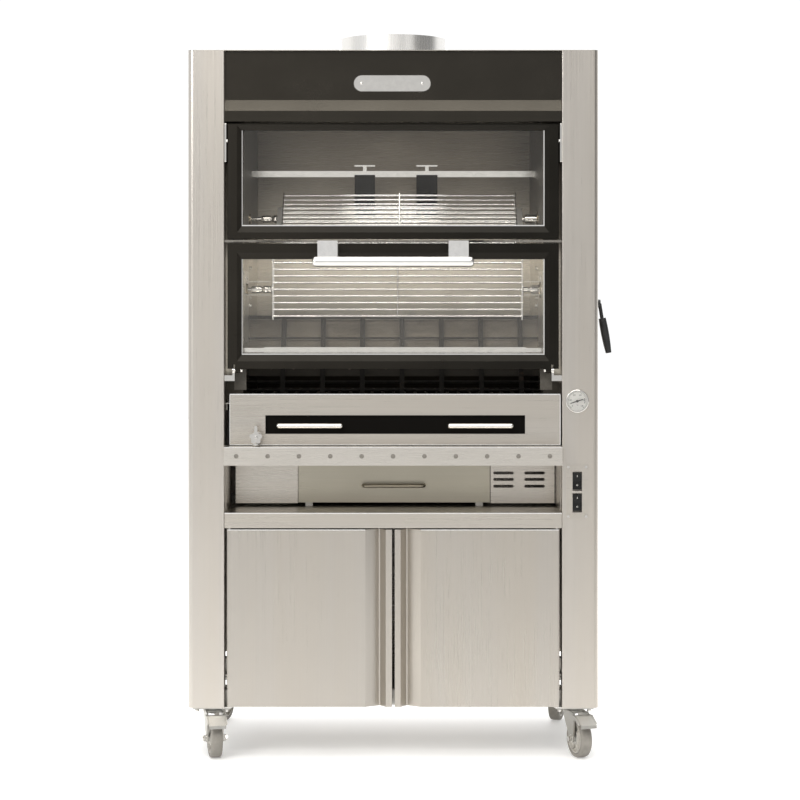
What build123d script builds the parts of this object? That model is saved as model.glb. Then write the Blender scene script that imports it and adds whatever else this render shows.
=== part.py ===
from build123d import *
import os
from math import cos, sin, radians, hypot, atan2, degrees

os.makedirs("parts", exist_ok=True)

# Charcoal rotisserie cabinet, millimetres, +Z up, front towards -Y.
# Origin: on the floor, midway across the cabinet and midway in its depth.

# ---------------------------------------------------------------- driving sizes
HALF_W = 540.0          # half width over the side casings
DEPTH = 660.0           # depth of the cabinet body
F = -DEPTH / 2          # Y of the front plane; depths are written F + something
Z_BOT = 131.0           # underside of the cabinet (top of the castor plates)
Z_TOP = 1862.0          # top of the roof
POST_IN = 444.0         # inner face of the side casings
T = 1.5                 # sheet thickness
CORNER_R = 14.0         # outer front corner of the casings

CH_X = 398.0            # half width inside the roasting chamber
CH_BACK = 610.0         # depth of the chamber back wall
CH_FLOOR = 940.0
CH_TOP = 1700.0

DOOR_X = 436.0          # half width of both glazed doors
DOOR_D0, DOOR_D1 = 3.0, 38.0
GLASS_X = 399.0
UP_Z0, UP_Z1 = 1365.0, 1668.0
UP_G0, UP_G1 = 1399.0, 1651.0
UP_PIN = (17.0, 1624.0)     # depth, height of the upper door pivot
LO_Z0, LO_Z1 = 1023.0, 1353.5
LO_G0, LO_G1 = 1060.0, 1312.0
LO_PIN = (10.0, 1018.0)     # depth, height of the lower door pivot

LB = (150.0, 1233.0)    # depth, height of the lower basket axis
UB = (270.0, 1428.0)    # depth, height of the upper basket axis
UB_TILT = 45.0
ROD_R = 2.5
ROD_PITCH = 18.0

FLUE_R = 150.0
FLUE_TOP = 1927.0

RAIL_Z0, RAIL_Z1 = 773.0, 821.0
DRAWER_Z0, DRAWER_Z1 = 823.0, 957.0
SHELF_Z = 644.0
CUP_Z0, CUP_Z1 = 133.5, 600.0
CUP_PIN = (431.0, 11.0)     # X, depth of the cupboard door pivots

LEVER = (200.0, 1195.0)     # depth, height of the side lever shaft

CAST_X = 478.0
CAST_D = (48.0, 545.0)
WHEEL_R = 50.0
TRAIL = 37.0


def block(x0, x1, y0, y1, z0, z1, mode=Mode.ADD):
    with Locations(((x0 + x1) / 2, (y0 + y1) / 2, (z0 + z1) / 2)):
        Box(abs(x1 - x0), abs(y1 - y0), abs(z1 - z0), mode=mode)


def rod(p, q, r, mode=Mode.ADD):
    """round bar from p to q"""
    a, b = Vector(*p), Vector(*q)
    pl = Plane(origin=(a + b) / 2, z_dir=(b - a))
    with Locations(pl.location):
        Cylinder(r, (b - a).length, mode=mode)


def tube(x0, x1, y0, y1, z0, z1, axis, wall):
    """square tube, open along axis"""
    block(x0, x1, y0, y1, z0, z1)
    e = 1.0
    ix = (x0 - e, x1 + e) if axis == "x" else (x0 + wall, x1 - wall)
    iy = (y0 - e, y1 + e) if axis == "y" else (y0 + wall, y1 - wall)
    iz = (z0 - e, z1 + e) if axis == "z" else (z0 + wall, z1 - wall)
    block(ix[0], ix[1], iy[0], iy[1], iz[0], iz[1], Mode.SUBTRACT)


# ---------------------------------------------------------------- welded frame
with BuildPart() as frame:
    # base ring
    tube(497, 537, F + 12, F + 656, Z_BOT, 171, "y", 2.5)
    tube(-537, -497, F + 12, F + 656, Z_BOT, 171, "y", 2.5)
    tube(-496.8, 496.8, F + 44, F + 84, Z_BOT, 171, "x", 2.5)
    tube(-496.8, 496.8, F + 540, F + 580, Z_BOT, 171, "x", 2.5)
    # uprights inside the casings
    for sx in (-1, 1):
        xa, xb = (505, 535) if sx > 0 else (-535, -505)
        tube(xa, xb, F + 50, F + 80, 171.2, 1858, "z", 2)
        tube(xa, xb, F + 596, F + 626, 171.2, 1858, "z", 2)
    # cross members under the shelf and under the roof
    for zc in (611.0, 1828.0):
        tube(-504.8, 504.8, F + 50, F + 80, zc, zc + 30, "x", 2)
        tube(-504.8, 504.8, F + 596, F + 626, zc, zc + 30, "x", 2)
frame.part.label = "frame"
export_step(frame.part, "parts/frame.step")

# ---------------------------------------------------------------- side casings
with BuildPart() as left_casing:
    with BuildSketch(Plane.XY.offset(Z_BOT)):
        with Locations((-(POST_IN + HALF_W) / 2, F + DEPTH / 2)):
            Rectangle(HALF_W - POST_IN, DEPTH)
        fillet(vertices().group_by(Axis.Y)[0].sort_by(Axis.X)[0], CORNER_R)
        fillet(vertices().group_by(Axis.Y)[0].sort_by(Axis.X)[-1], 3.0)
        with BuildSketch(mode=Mode.SUBTRACT) as hollow_l:
            with Locations((-(POST_IN + HALF_W) / 2, F + DEPTH / 2)):
                Rectangle(HALF_W - POST_IN - 2 * T, DEPTH - 2 * T)
            fillet(vertices().group_by(Axis.Y)[0].sort_by(Axis.X)[0], CORNER_R - T)
            fillet(vertices().group_by(Axis.Y)[0].sort_by(Axis.X)[-1], 1.5)
        with Locations((-(POST_IN + 1), F + 350.5)):
            Rectangle(6, 621, mode=Mode.SUBTRACT)
        with Locations((-474.0, F + DEPTH)):
            Rectangle(62, 6, mode=Mode.SUBTRACT)
    extrude(amount=Z_TOP - T - 0.1 - Z_BOT)
left_casing.part.label = "left_casing"
export_step(left_casing.part, "parts/left_casing.step")

TH_X, TH_Z, TH_R = 484.0, 938.0, 30.5
SW_X0, SW_X1, SW_Z0, SW_Z1 = 455.0, 512.0, 629.0, 771.0
with BuildPart() as right_casing:
    with BuildSketch(Plane.XY.offset(Z_BOT)):
        with Locations(((POST_IN + HALF_W) / 2, F + DEPTH / 2)):
            Rectangle(HALF_W - POST_IN, DEPTH)
        fillet(vertices().group_by(Axis.Y)[0].sort_by(Axis.X)[-1], CORNER_R)
        fillet(vertices().group_by(Axis.Y)[0].sort_by(Axis.X)[0], 3.0)
        with BuildSketch(mode=Mode.SUBTRACT) as hollow_r:
            with Locations(((POST_IN + HALF_W) / 2, F + DEPTH / 2)):
                Rectangle(HALF_W - POST_IN - 2 * T, DEPTH - 2 * T)
            fillet(vertices().group_by(Axis.Y)[0].sort_by(Axis.X)[-1], CORNER_R - T)
            fillet(vertices().group_by(Axis.Y)[0].sort_by(Axis.X)[0], 1.5)
        with Locations((POST_IN + 1, F + 350.5)):
            Rectangle(6, 621, mode=Mode.SUBTRACT)
        with Locations((474.0, F + DEPTH)):
            Rectangle(62, 6, mode=Mode.SUBTRACT)
    extrude(amount=Z_TOP - T - 0.1 - Z_BOT)
    # thermometer hole, switch window, lever shaft hole
    rod((TH_X, F - 5, TH_Z), (TH_X, F + 5, TH_Z), 27.05, Mode.SUBTRACT)
    block(465, 503, F - 5, F + 5, 639, 761, Mode.SUBTRACT)
    rod((530, F + LEVER[0], LEVER[1]), (550, F + LEVER[0], LEVER[1]), 6.05, Mode.SUBTRACT)
right_casing.part.label = "right_casing"
export_step(right_casing.part, "parts/right_casing.step")

# ---------------------------------------------------------------- rear, roof, flue
GLAND_X, GLAND_Z = 380.0, 240.0
with BuildPart() as rear_panel:
    block(-504.7, 504.7, F + 658.5, F + 660, 171, 1860.4)
    # cooling slots behind the drive side and the cupboard
    for k in range(8):
        with Locations((470, F + 659, 1180 + 18 * k)):
            Box(46, 8, 5, mode=Mode.SUBTRACT)
        with Locations((-470, F + 659, 1180 + 18 * k)):
            Box(46, 8, 5, mode=Mode.SUBTRACT)
        with Locations((0, F + 659, 400 + 18 * k)):
            Box(220, 8, 5, mode=Mode.SUBTRACT)
    rod((GLAND_X, F + 650, GLAND_Z), (GLAND_X, F + 670, GLAND_Z), 10.05, Mode.SUBTRACT)
    # fixing screw heads along both edges, formed with the panel
    for sx in (-1, 1):
        for k in range(6):
            rod((sx * 492, F + 660, 230 + 310 * k), (sx * 492, F + 662.2, 230 + 310 * k), 5)
rear_panel.part.label = "rear_panel"
export_step(rear_panel.part, "parts/rear_panel.step")

with BuildPart() as roof_panel:
    with BuildSketch(Plane.XY.offset(Z_TOP - T)):
        with Locations((0, F + DEPTH / 2)):
            Rectangle(2 * HALF_W, DEPTH)
        fillet(vertices().group_by(Axis.Y)[0], CORNER_R)
        with Locations((0, F + 330)):
            Circle(FLUE_R - 1.2, mode=Mode.SUBTRACT)
    extrude(amount=T)
roof_panel.part.label = "roof_panel"
export_step(roof_panel.part, "parts/roof_panel.step")

with BuildPart() as flue_spigot:
    with BuildSketch(Plane.XZ.offset(-(F + 330))):
        with BuildLine():
            Polyline((FLUE_R - 3.5, CH_TOP + T), (FLUE_R - 1.5, CH_TOP + T), (FLUE_R - 1.5, Z_TOP),
                     (FLUE_R + 24, Z_TOP), (FLUE_R + 24, Z_TOP + 1.5), (FLUE_R, Z_TOP + 1.5),
                     (FLUE_R, FLUE_TOP), (FLUE_R - 2, FLUE_TOP), (FLUE_R - 2, Z_TOP + 1.5),
                     (FLUE_R - 3.5, Z_TOP), close=True)
        make_face()
    revolve(axis=Axis((0, F + 330, 0), (0, 0, 1)))
flue_spigot.part.label = "flue_spigot"
export_step(flue_spigot.part, "parts/flue_spigot.step")

# ---------------------------------------------------------------- fascia and badge plate
with BuildPart() as fascia:
    with BuildSketch(Plane.YZ.offset(-443.8)):
        with BuildLine():
            Polyline((F + 42, 1860.4), (F + 12, 1860.4), (F + 12, 1731), (F + 2, 1702), (F + 2, 1674),
                     (F + 34, 1674), (F + 34, 1675.5), (F + 3.5, 1675.5), (F + 3.5, 1701.7),
                     (F + 13.5, 1730.7), (F + 13.5, 1858.9), (F + 42, 1858.9), close=True)
        make_face()
    extrude(amount=887.6)
fascia.part.label = "fascia"
export_step(fascia.part, "parts/fascia.step")

BADGE_X, BADGE_Z = -2.4, 1775.0
with BuildPart() as badge_plate:
    with BuildSketch(Plane.XZ.offset(-(F + 9))):
        with Locations((BADGE_X, BADGE_Z)):
            SlotOverall(203, 43)
    extrude(amount=-3)
    chamfer(faces().sort_by(Axis.Y)[0].edges(), 0.8)
    for bx_ in (-83.6, 76.4):
        rod((bx_, F + 5, BADGE_Z), (bx_, F + 14, BADGE_Z), 2.0, Mode.SUBTRACT)
badge_plate.part.label = "badge_plate"
export_step(badge_plate.part, "parts/badge_plate.step")

# ---------------------------------------------------------------- roasting chamber
WALL_HOLE = 18.0
STEP_D, STEP_Z = 71.0, 1565.0   # the front edge steps back to clear the upper door
with BuildPart() as chamber_side_walls:
    for sx in (-1, 1):
        xa, xb = sorted((sx * CH_X, sx * (CH_X + T)))
        fa, fb = sorted((sx * (CH_X + T), sx * 443.8))
        block(xa, xb, F + 41, F + CH_BACK - 0.1, CH_FLOOR, CH_TOP - 0.1)
        block(xa - 1, xb + 1, F + 40, F + STEP_D, STEP_Z, CH_TOP, Mode.SUBTRACT)
        block(fa, fb, F + 41, F + 41 + T, CH_FLOOR, STEP_Z)
        block(fa, fb, F + 41, F + STEP_D + T, STEP_Z - T, STEP_Z)
        block(fa, fb, F + STEP_D, F + STEP_D + T, STEP_Z, CH_TOP - 0.1)
    for d, z in (LB, UB):
        rod((-CH_X - 10, F + d, z), (-CH_X + 5, F + d, z), 12.0, Mode.SUBTRACT)
        rod((CH_X - 5, F + d, z), (CH_X + 10, F + d, z), WALL_HOLE, Mode.SUBTRACT)
    # air holes behind the shutter disc
    for a in (0, 90, 180, 270):
        yy, zz = F + LEVER[0] + 22 * cos(radians(a)), LEVER[1] + 22 * sin(radians(a))
        rod((CH_X - 5, yy, zz), (CH_X + 5, yy, zz), 5, Mode.SUBTRACT)
chamber_side_walls.part.label = "chamber_side_walls"
export_step(chamber_side_walls.part, "parts/chamber_side_walls.step")

with BuildPart() as chamber_back_and_ceiling:
    block(-CH_X - T, CH_X + T, F + CH_BACK, F + CH_BACK + T, CH_FLOOR, CH_TOP + T)
    block(-CH_X - T, CH_X + T, F + 73, F + CH_BACK, CH_TOP, CH_TOP + T)
    block(-CH_X + 0.2, CH_X - 0.2, F + 73, F + 73 + T, 1674, CH_TOP)
    with Locations((0, F + 330, CH_TOP)):
        Cylinder(FLUE_R - 3.5, 20, mode=Mode.SUBTRACT)
chamber_back_and_ceiling.part.label = "chamber_back_and_ceiling"
export_step(chamber_back_and_ceiling.part, "parts/chamber_back_and_ceiling.step")

# centre rail between the doors, and the rail that the deflector plates hang on
HANG_D0, HANG_Z0, HANG_Z1 = 370.0, 1550.0, 1567.0
PLATES = ((-109.5, -52.0), (64.0, 123.0))
with BuildPart() as chamber_rails:
    block(-443.8, 443.8, F + 7, F + 38, 1356, 1362)
    block(-CH_X + 0.1, CH_X - 0.1, F + HANG_D0, F + HANG_D0 + 6, HANG_Z0, HANG_Z1)
    # front guard bar just behind the lower glass, on two end brackets, with five clip plates
    block(-343, 352, F + 50, F + 53, 1063.5, 1079)
    block(-CH_X + 0.1, -343.05, F + 50, F + 53, 1065, 1077)
    block(352.05, CH_X - 0.1, F + 50, F + 53, 1065, 1077)
    for gx in (-234.4, -141.0, -16.5, 131.0, 270.0):
        block(gx - 14, gx + 14, F + 48.75, F + 49.95, 1063.7, 1078.8)
    # lips above and below the stub shafts of the lower basket
    for za in (1217.3, 1252.7):
        block(352.5, CH_X - 0.1, F + 128, F + 172, za, za + 1.5)
        block(-CH_X + 0.1, -332, F + 128, F + 172, za, za + 1.5)
    rod((CH_X - 4.2, F + LB[0], LB[1]), (CH_X + 1, F + LB[0], LB[1]), 22.2, Mode.SUBTRACT)
    rod((-CH_X - 1, F + LB[0], LB[1]), (-CH_X + 6.2, F + LB[0], LB[1]), 15.2, Mode.SUBTRACT)
    # T-shaped hooks over the hanger rail, one for each plate
    for xa, xb in PLATES:
        xm = (xa + xb) / 2
        block(xm - 5, xm + 5, F + 366.5, F + 369.5, 1556.05, 1580)
        block(xm - 5, xm + 5, F + 366.5, F + 380, 1567.4, 1570.4)
        block(xm - 5, xm + 5, F + 377, F + 380, 1548, 1570.4)
        block(xa, xb, F + 362, F + 373, 1579, 1583)
chamber_rails.part.label = "chamber_rails"
export_step(chamber_rails.part, "parts/chamber_rails.step")

# black plates that hang from them
with BuildPart() as deflector_plates:
    for xa, xb in PLATES:
        block(xa, xb, F + 366.5, F + 369.5, 1438, 1556)
deflector_plates.part.label = "deflector_plates"
export_step(deflector_plates.part, "parts/deflector_plates.step")

# ---------------------------------------------------------------- fire guard, grate, ash chute
GUARD_B = (150.0, 950.0)
GUARD_T = (250.0, 1152.0)
GUARD_X = [-300 + 107.8 * k for k in range(7)]
lean = degrees(atan2(GUARD_T[0] - GUARD_B[0], GUARD_T[1] - GUARD_B[1]))
with BuildPart() as fire_guard:
    for gx in GUARD_X:
        pl = Plane(origin=(gx, F + GUARD_B[0], GUARD_B[1]),
                   x_dir=(1, 0, 0), z_dir=(0, GUARD_T[0] - GUARD_B[0], GUARD_T[1] - GUARD_B[1]))
        with BuildSketch(pl.offset(1.6)):
            Rectangle(13, 6)
        extrude(amount=hypot(GUARD_T[0] - GUARD_B[0], GUARD_T[1] - GUARD_B[1]) - 3.2)
    for zc in (961.0, 982.0, 1099.0):
        k = (zc - GUARD_B[1]) / (GUARD_T[1] - GUARD_B[1])
        yc = F + GUARD_B[0] + k * (GUARD_T[0] - GUARD_B[0]) + 7.9
        rod((-CH_X + 0.2, yc, zc), (CH_X - 0.2, yc, zc), 4.0)
    # sloping apron plate behind the bars, open below for tending the fire
    run = hypot(GUARD_T[0] - GUARD_B[0], GUARD_T[1] - GUARD_B[1])
    pl = Plane(origin=(0, F + GUARD_B[0], GUARD_B[1]),
               x_dir=(1, 0, 0), z_dir=(0, GUARD_T[0] - GUARD_B[0], GUARD_T[1] - GUARD_B[1]))
    with BuildSketch(pl.offset(60)):
        with Locations((0, 14.2)):
            Rectangle(2 * CH_X - 0.4, 2.4)
    extrude(amount=run + 5 - 60)
    # top ledge: an angle section right across the chamber
    block(-CH_X + 0.2, CH_X - 0.2, F + 250, F + 292, 1152, 1155)
    block(-CH_X + 0.2, CH_X - 0.2, F + 250, F + 253, 1155.05, 1162)
    # cheek plates either side of the fire opening, under the lower door
    for sx in (-1, 1):
        xa, xb = sorted((sx * 389, sx * 421))
        block(xa, xb, F + 38.9, F + 40.9, 966, 1021)
fire_guard.part.label = "fire_guard"
export_step(fire_guard.part, "parts/fire_guard.step")

with BuildPart() as fire_grate:
    block(-394, 394, F + 160, F + 172, 941, 949)
    block(-394, 394, F + 594, F + 606, 941, 949)
    block(-394, 394, F + 377, F + 389, 941, 949)
    for k in range(27):
        gx = -390 + 30 * k
        block(gx - 4, gx + 4, F + 160, F + 606, 941, 949)
fire_grate.part.label = "fire_grate"
export_step(fire_grate.part, "parts/fire_grate.step")

with BuildPart() as ash_chute:
    with BuildSketch(Plane.XY.offset(939.5)):
        with Locations((0, F + 383)):
            Rectangle(790, 448)
    with BuildSketch(Plane.XY.offset(772)):
        with Locations((0, F + 373)):
            Rectangle(496, 356)
    loft()
    with BuildSketch(Plane.XY.offset(939.6)):
        with Locations((0, F + 383)):
            Rectangle(786, 444)
    with BuildSketch(Plane.XY.offset(771.9)):
        with Locations((0, F + 373)):
            Rectangle(492, 352)
    loft(mode=Mode.SUBTRACT)
ash_chute.part.label = "ash_chute"
export_step(ash_chute.part, "parts/ash_chute.step")

# ---------------------------------------------------------------- perforated rail, niche, shelf
HOLE_X = [-408 + 81.6 * k for k in range(11)]
with BuildPart() as perforated_rail:
    block(-441, 441, F - 60, F + 22, RAIL_Z0, RAIL_Z1)
    block(-439, 439, F - 58, F + 23, RAIL_Z0 + 2, RAIL_Z1 - 2, Mode.SUBTRACT)
    for hx in HOLE_X:
        rod((hx, F - 65, 797.5), (hx, F - 50, 797.5), 6, Mode.SUBTRACT)
    # inner strip close behind the row of holes
    block(-439, 439, F - 55.2, F - 54, RAIL_Z0 + 2, RAIL_Z1 - 2)
    # flanges that screw to the inner faces of the casings
    block(-443.8, -439, F + 2, F + 22, RAIL_Z0, RAIL_Z1)
    block(439, 443.8, F + 2, F + 22, RAIL_Z0, RAIL_Z1)
perforated_rail.part.label = "perforated_rail"
export_step(perforated_rail.part, "parts/perforated_rail.step")

with BuildPart() as niche_panels:
    block(-429, -260, F + 190, F + 190 + T, 652, 770.8)
    block(264.5, 442.2, F + 190, F + 190 + T, 652, 770.8)
    for sx0, sx1 in ((271.8, 327.3), (356.4, 412.0)):
        for sz in (734.0, 716.5, 698.0):
            block(sx0 + 4, sx1 - 4, F + 188, F + 193, sz - 4, sz + 4, Mode.SUBTRACT)
            for ex in (sx0 + 4, sx1 - 4):
                rod((ex, F + 188, sz), (ex, F + 193, sz), 4, Mode.SUBTRACT)
    for sx in (-1, 1):
        xa, xb = sorted((sx * 442.3, sx * 443.8))
        block(xa, xb, F + 42, F + 192, 645, 771)
    block(-442.2, 442.2, F + 22.2, F + 196, 771.1, 772.6)
    block(-258.5, 263.0, F + 192.5, F + 196, 771.1, 772.6, Mode.SUBTRACT)
niche_panels.part.label = "niche_panels"
export_step(niche_panels.part, "parts/niche_panels.step")

with BuildPart() as shelf:
    with BuildSketch(Plane.YZ.offset(-443.7)):
        with BuildLine():
            Polyline((F + 648, SHELF_Z), (F, SHELF_Z), (F, 604), (F + 30, 604), (F + 30, 605.5),
                     (F + T, 605.5), (F + T, SHELF_Z - T), (F + 648, SHELF_Z - T), close=True)
        make_face()
    extrude(amount=887.4)
    fillet(edges().filter_by(Axis.X).filter_by(lambda e: abs(e.center().Y - F) < 0.01), 1.2)
    for sx in (-1, 1):
        # holes for the top pivots of the cupboard doors
        rod((sx * CUP_PIN[0], F + CUP_PIN[1], 600), (sx * CUP_PIN[0], F + CUP_PIN[1], 610), 4.0, Mode.SUBTRACT)
shelf.part.label = "shelf"
export_step(shelf.part, "parts/shelf.step")

# ---------------------------------------------------------------- glazed doors
def door_frame(z0, z1, g0, g1, above, below):
    block(-DOOR_X, DOOR_X, F + DOOR_D0, F + DOOR_D1, z0, z1)
    block(-GLASS_X, GLASS_X, F, F + 50, g0, g1, Mode.SUBTRACT)
    # wide bevel that slopes in to the glass on all four sides
    with BuildSketch(Plane.XZ.offset(-(F + DOOR_D0))) as rim:
        with Locations((0, (g0 - below + g1 + above) / 2)):
            Rectangle(2 * (GLASS_X + 12), g1 + above - g0 + below)
    with BuildSketch(Plane.XZ.offset(-(F + 12.5))) as throat:
        with Locations((0, (g0 + g1) / 2)):
            Rectangle(2 * GLASS_X, g1 - g0)
    loft([rim.sketch, throat.sketch], ruled=True, mode=Mode.SUBTRACT)
    chamfer(faces().sort_by(Axis.Y)[0].outer_wire().edges(), 1.5)
    # groove that holds the glass
    block(-GLASS_X - 7, GLASS_X + 7, F + 16, F + 20.2, g0 - 7, g1 + 5, Mode.SUBTRACT)
    # folded channels behind the stiles and the bottom rail
    for sx in (-1, 1):
        xa, xb = sorted((sx * 411, sx * 433.5))
        block(xa, xb, F + 6, F + 45, z0 + 18, z1 - 14, Mode.SUBTRACT)
    block(-400, 400, F + 6, F + 45, z0 + 2.5, g0 - below - 2, Mode.SUBTRACT)


with BuildPart() as upper_door_frame:
    door_frame(UP_Z0, UP_Z1, UP_G0, UP_G1, 13, 17)
    rod((-440, F + UP_PIN[0], UP_PIN[1]), (-430, F + UP_PIN[0], UP_PIN[1]), 5.05, Mode.SUBTRACT)
    rod((430, F + UP_PIN[0], UP_PIN[1]), (440, F + UP_PIN[0], UP_PIN[1]), 5.05, Mode.SUBTRACT)
upper_door_frame.part.label = "upper_door_frame"
export_step(upper_door_frame.part, "parts/upper_door_frame.step")

with BuildPart() as upper_door_glass:
    block(-GLASS_X - 6.9, GLASS_X + 6.9, F + 16.1, F + 20.1, UP_G0 - 6.9, UP_G1 + 4.9)
upper_door_glass.part.label = "upper_door_glass"
export_step(upper_door_glass.part, "parts/upper_door_glass.step")

with BuildPart() as lower_door_frame:
    door_frame(LO_Z0, LO_Z1, LO_G0, LO_G1, 17, 17)
    for sx in (-1, 1):
        # notch for the fixed bracket, and the hinge lug under the bottom rail
        xa, xb = sorted((sx * 416.3, sx * 424))
        block(xa, xb, F, F + 50, 1010, 1034, Mode.SUBTRACT)
        xa, xb = sorted((sx * 402, sx * 416))
        block(xa, xb, F + 4, F + 16, 1018, 1026)
        rod((xa, F + LO_PIN[0], LO_PIN[1]), (xb, F + LO_PIN[0], LO_PIN[1]), 6.0)
        rod((xa - 1, F + LO_PIN[0], LO_PIN[1]), (xb + 1, F + LO_PIN[0], LO_PIN[1]), 4.05, Mode.SUBTRACT)
lower_door_frame.part.label = "lower_door_frame"
export_step(lower_door_frame.part, "parts/lower_door_frame.step")

with BuildPart() as lower_door_glass:
    block(-GLASS_X - 6.9, GLASS_X + 6.9, F + 16.1, F + 20.1, LO_G0 - 6.9, LO_G1 + 4.9)
lower_door_glass.part.label = "lower_door_glass"
export_step(lower_door_glass.part, "parts/lower_door_glass.step")

HANDLE_Z, HANDLE_D = 1304.0, -45.0
with BuildPart() as door_handle:
    rod((-212, F + HANDLE_D, HANDLE_Z), (212, F + HANDLE_D, HANDLE_Z), 14)
    fillet(edges().filter_by(GeomType.CIRCLE), 6)
    for hx in (-171, 171):
        block(hx - 26, hx + 26, F - 52, F - 48, 1306, 1359)
        block(hx - 20, hx + 20, F - 50, F + DOOR_D0, 1324, 1349)
        block(hx - 26, hx + 26, F - 1, F + DOOR_D0, 1319, 1351.5)
door_handle.part.label = "door_handle"
export_step(door_handle.part, "parts/door_handle.step")

# fixed halves of the hinges with their pins
with BuildPart() as door_hinges:
    for sx in (-1, 1):
        xa, xb = sorted((sx * 439.5, sx * 444))
        block(xa, xb, F + 4, F + 36, 1567, 1671)
        fillet(edges().filter_by(Axis.X).filter_by(lambda e: e.center().X * sx > 0), 4)
        rod((sx * 442, F + UP_PIN[0], UP_PIN[1]), (sx * 426, F + UP_PIN[0], UP_PIN[1]), 5)
        # hook bracket of the lower door
        xa, xb = sorted((sx * 417.2, sx * 444))
        block(xa, xb, F + 4, F + 24, 991, 1006)
        xa, xb = sorted((sx * 417.2, sx * 423))
        block(xa, xb, F + 5, F + 15, 1000, 1018)
        rod((sx * 417.2, F + LO_PIN[0], LO_PIN[1]), (sx * 423, F + LO_PIN[0], LO_PIN[1]), 7)
        rod((sx * 420, F + LO_PIN[0], LO_PIN[1]), (sx * 400.5, F + LO_PIN[0], LO_PIN[1]), 4)
        rod((sx * 400.5, F + LO_PIN[0], LO_PIN[1]), (sx * 397, F + LO_PIN[0], LO_PIN[1]), 4.6)
    # pivots of the cupboard doors: pins in the shelf fold and on plates at the foot
    for sx in (-1, 1):
        px, py = sx * CUP_PIN[0], F + CUP_PIN[1]
        rod((px, py, 594), (px, py, 603), 3.0)
        rod((px, py, 601.5), (px, py, 607), 3.95)
        xa, xb = sorted((sx * 424, sx * 443.9))
        block(xa, xb, F + 4, F + 26, Z_BOT + 0.1, Z_BOT + 1.6)
        rod((px, py, Z_BOT + 1), (px, py, 140), 3.0)
door_hinges.part.label = "door_hinges"
export_step(door_hinges.part, "parts/door_hinges.step")

# ---------------------------------------------------------------- grill baskets
def basket(x0, x1, axis, tilt):
    """two grids of nine rods between end plates, built upright about its own axis"""
    pl = Plane(origin=(0, F + axis[0], axis[1]), x_dir=(1, 0, 0), z_dir=(0, sin(radians(tilt)), cos(radians(tilt))))
    with Locations(pl.location):
        # end plates with two windows
        with Locations(((x0 + 1.5), 0, 0), ((x1 - 1.5), 0, 0)):
            Box(3, 52, 164)
        for zz in (-44, 44):
            with Locations(((x0 + 1.5), 0, zz), ((x1 - 1.5), 0, zz)):
                Box(4, 26, 50, mode=Mode.SUBTRACT)
        # grid wires between the plates, and the cross wires laid on them
        for k in range(9):
            for sy in (-1, 1):
                with Locations((((x0 + x1) / 2), sy * 22, (k - 4) * ROD_PITCH)):
                    Cylinder(ROD_R, x1 - x0 - 6.1, rotation=(0, 90, 0))
        for sy in (-1, 1):
            with Locations(((x0 + x1) / 2, sy * 26.55, 0)):
                Cylinder(2.0, 152)


LBX0, LBX1 = -325.0, 348.0
UBX0, UBX1 = -306.0, 339.0
with BuildPart() as lower_basket:
    basket(LBX0, LBX1, LB, 0.0)
lower_basket.part.label = "lower_basket"
export_step(lower_basket.part, "parts/lower_basket.step")

with BuildPart() as upper_basket:
    basket(UBX0, UBX1, UB, UB_TILT)
upper_basket.part.label = "upper_basket"
export_step(upper_basket.part, "parts/upper_basket.step")

def journals(x0, x1, axis):
    y, z = F + axis[0], axis[1]
    rod((-412, y, z), (x0 - 50, y, z), 5)
    rod((x0 - 58, y, z), (x0 - 30, y, z), 8)
    rod((x0 - 27, y, z), (x0 - 20, y, z), 11)
    rod((x0 - 31, y, z), (x0, y, z), 9)
    rod((x1, y, z), (x1 + 26, y, z), 7)
    rod((x1 + 22, y, z), (403, y, z), 13)
    rod((402, y, z), (425, y, z), 6)


with BuildPart() as lower_basket_journals:
    journals(LBX0, LBX1, LB)
lower_basket_journals.part.label = "lower_basket_journals"
export_step(lower_basket_journals.part, "parts/lower_basket_journals.step")

with BuildPart() as upper_basket_journals:
    journals(UBX0, UBX1, UB)
upper_basket_journals.part.label = "upper_basket_journals"
export_step(upper_basket_journals.part, "parts/upper_basket_journals.step")

with BuildPart() as shaft_bushes:
    for d, z in (LB, UB):
        y = F + d
        rod((-410, y, z), (-CH_X, y, z), 11.95)
        rod((-CH_X, y, z), (-392, y, z), 15)
        rod((-CH_X - T - 6, y, z), (-CH_X - T, y, z), 15)
        rod((-411, y, z), (-391, y, z), 5.05, Mode.SUBTRACT)
        rod((CH_X - 4, y, z), (CH_X, y, z), 22)
        rod((CH_X - 1, y, z), (CH_X + T, y, z), 17.95)
        rod((CH_X - 5, y, z), (CH_X + 8, y, z), 13.05, Mode.SUBTRACT)
shaft_bushes.part.label = "shaft_bushes"
export_step(shaft_bushes.part, "parts/shaft_bushes.step")

with BuildPart() as basket_gearmotors:
    for d, z in (LB, UB):
        y = F + d
        block(406, 460, y - 58, y + 13, z - 35, z + 57)
        fillet(edges().filter_by(Axis.X).filter_by(lambda e: abs(e.center().Z - z) < 70), 5)
        rod((459, y - 22, z + 22), (528, y - 22, z + 22), 29)
        rod((528, y - 22, z + 22), (534, y - 22, z + 22), 24)
        for yy, zz in ((y - 50, z - 27), (y - 50, z + 49), (y + 5, z + 49)):
            rod((CH_X + T, yy, zz), (406.5, yy, zz), 4)
        rod((404, y, z), (430, y, z), 6.05, Mode.SUBTRACT)
basket_gearmotors.part.label = "basket_gearmotors"
export_step(basket_gearmotors.part, "parts/basket_gearmotors.step")

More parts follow.
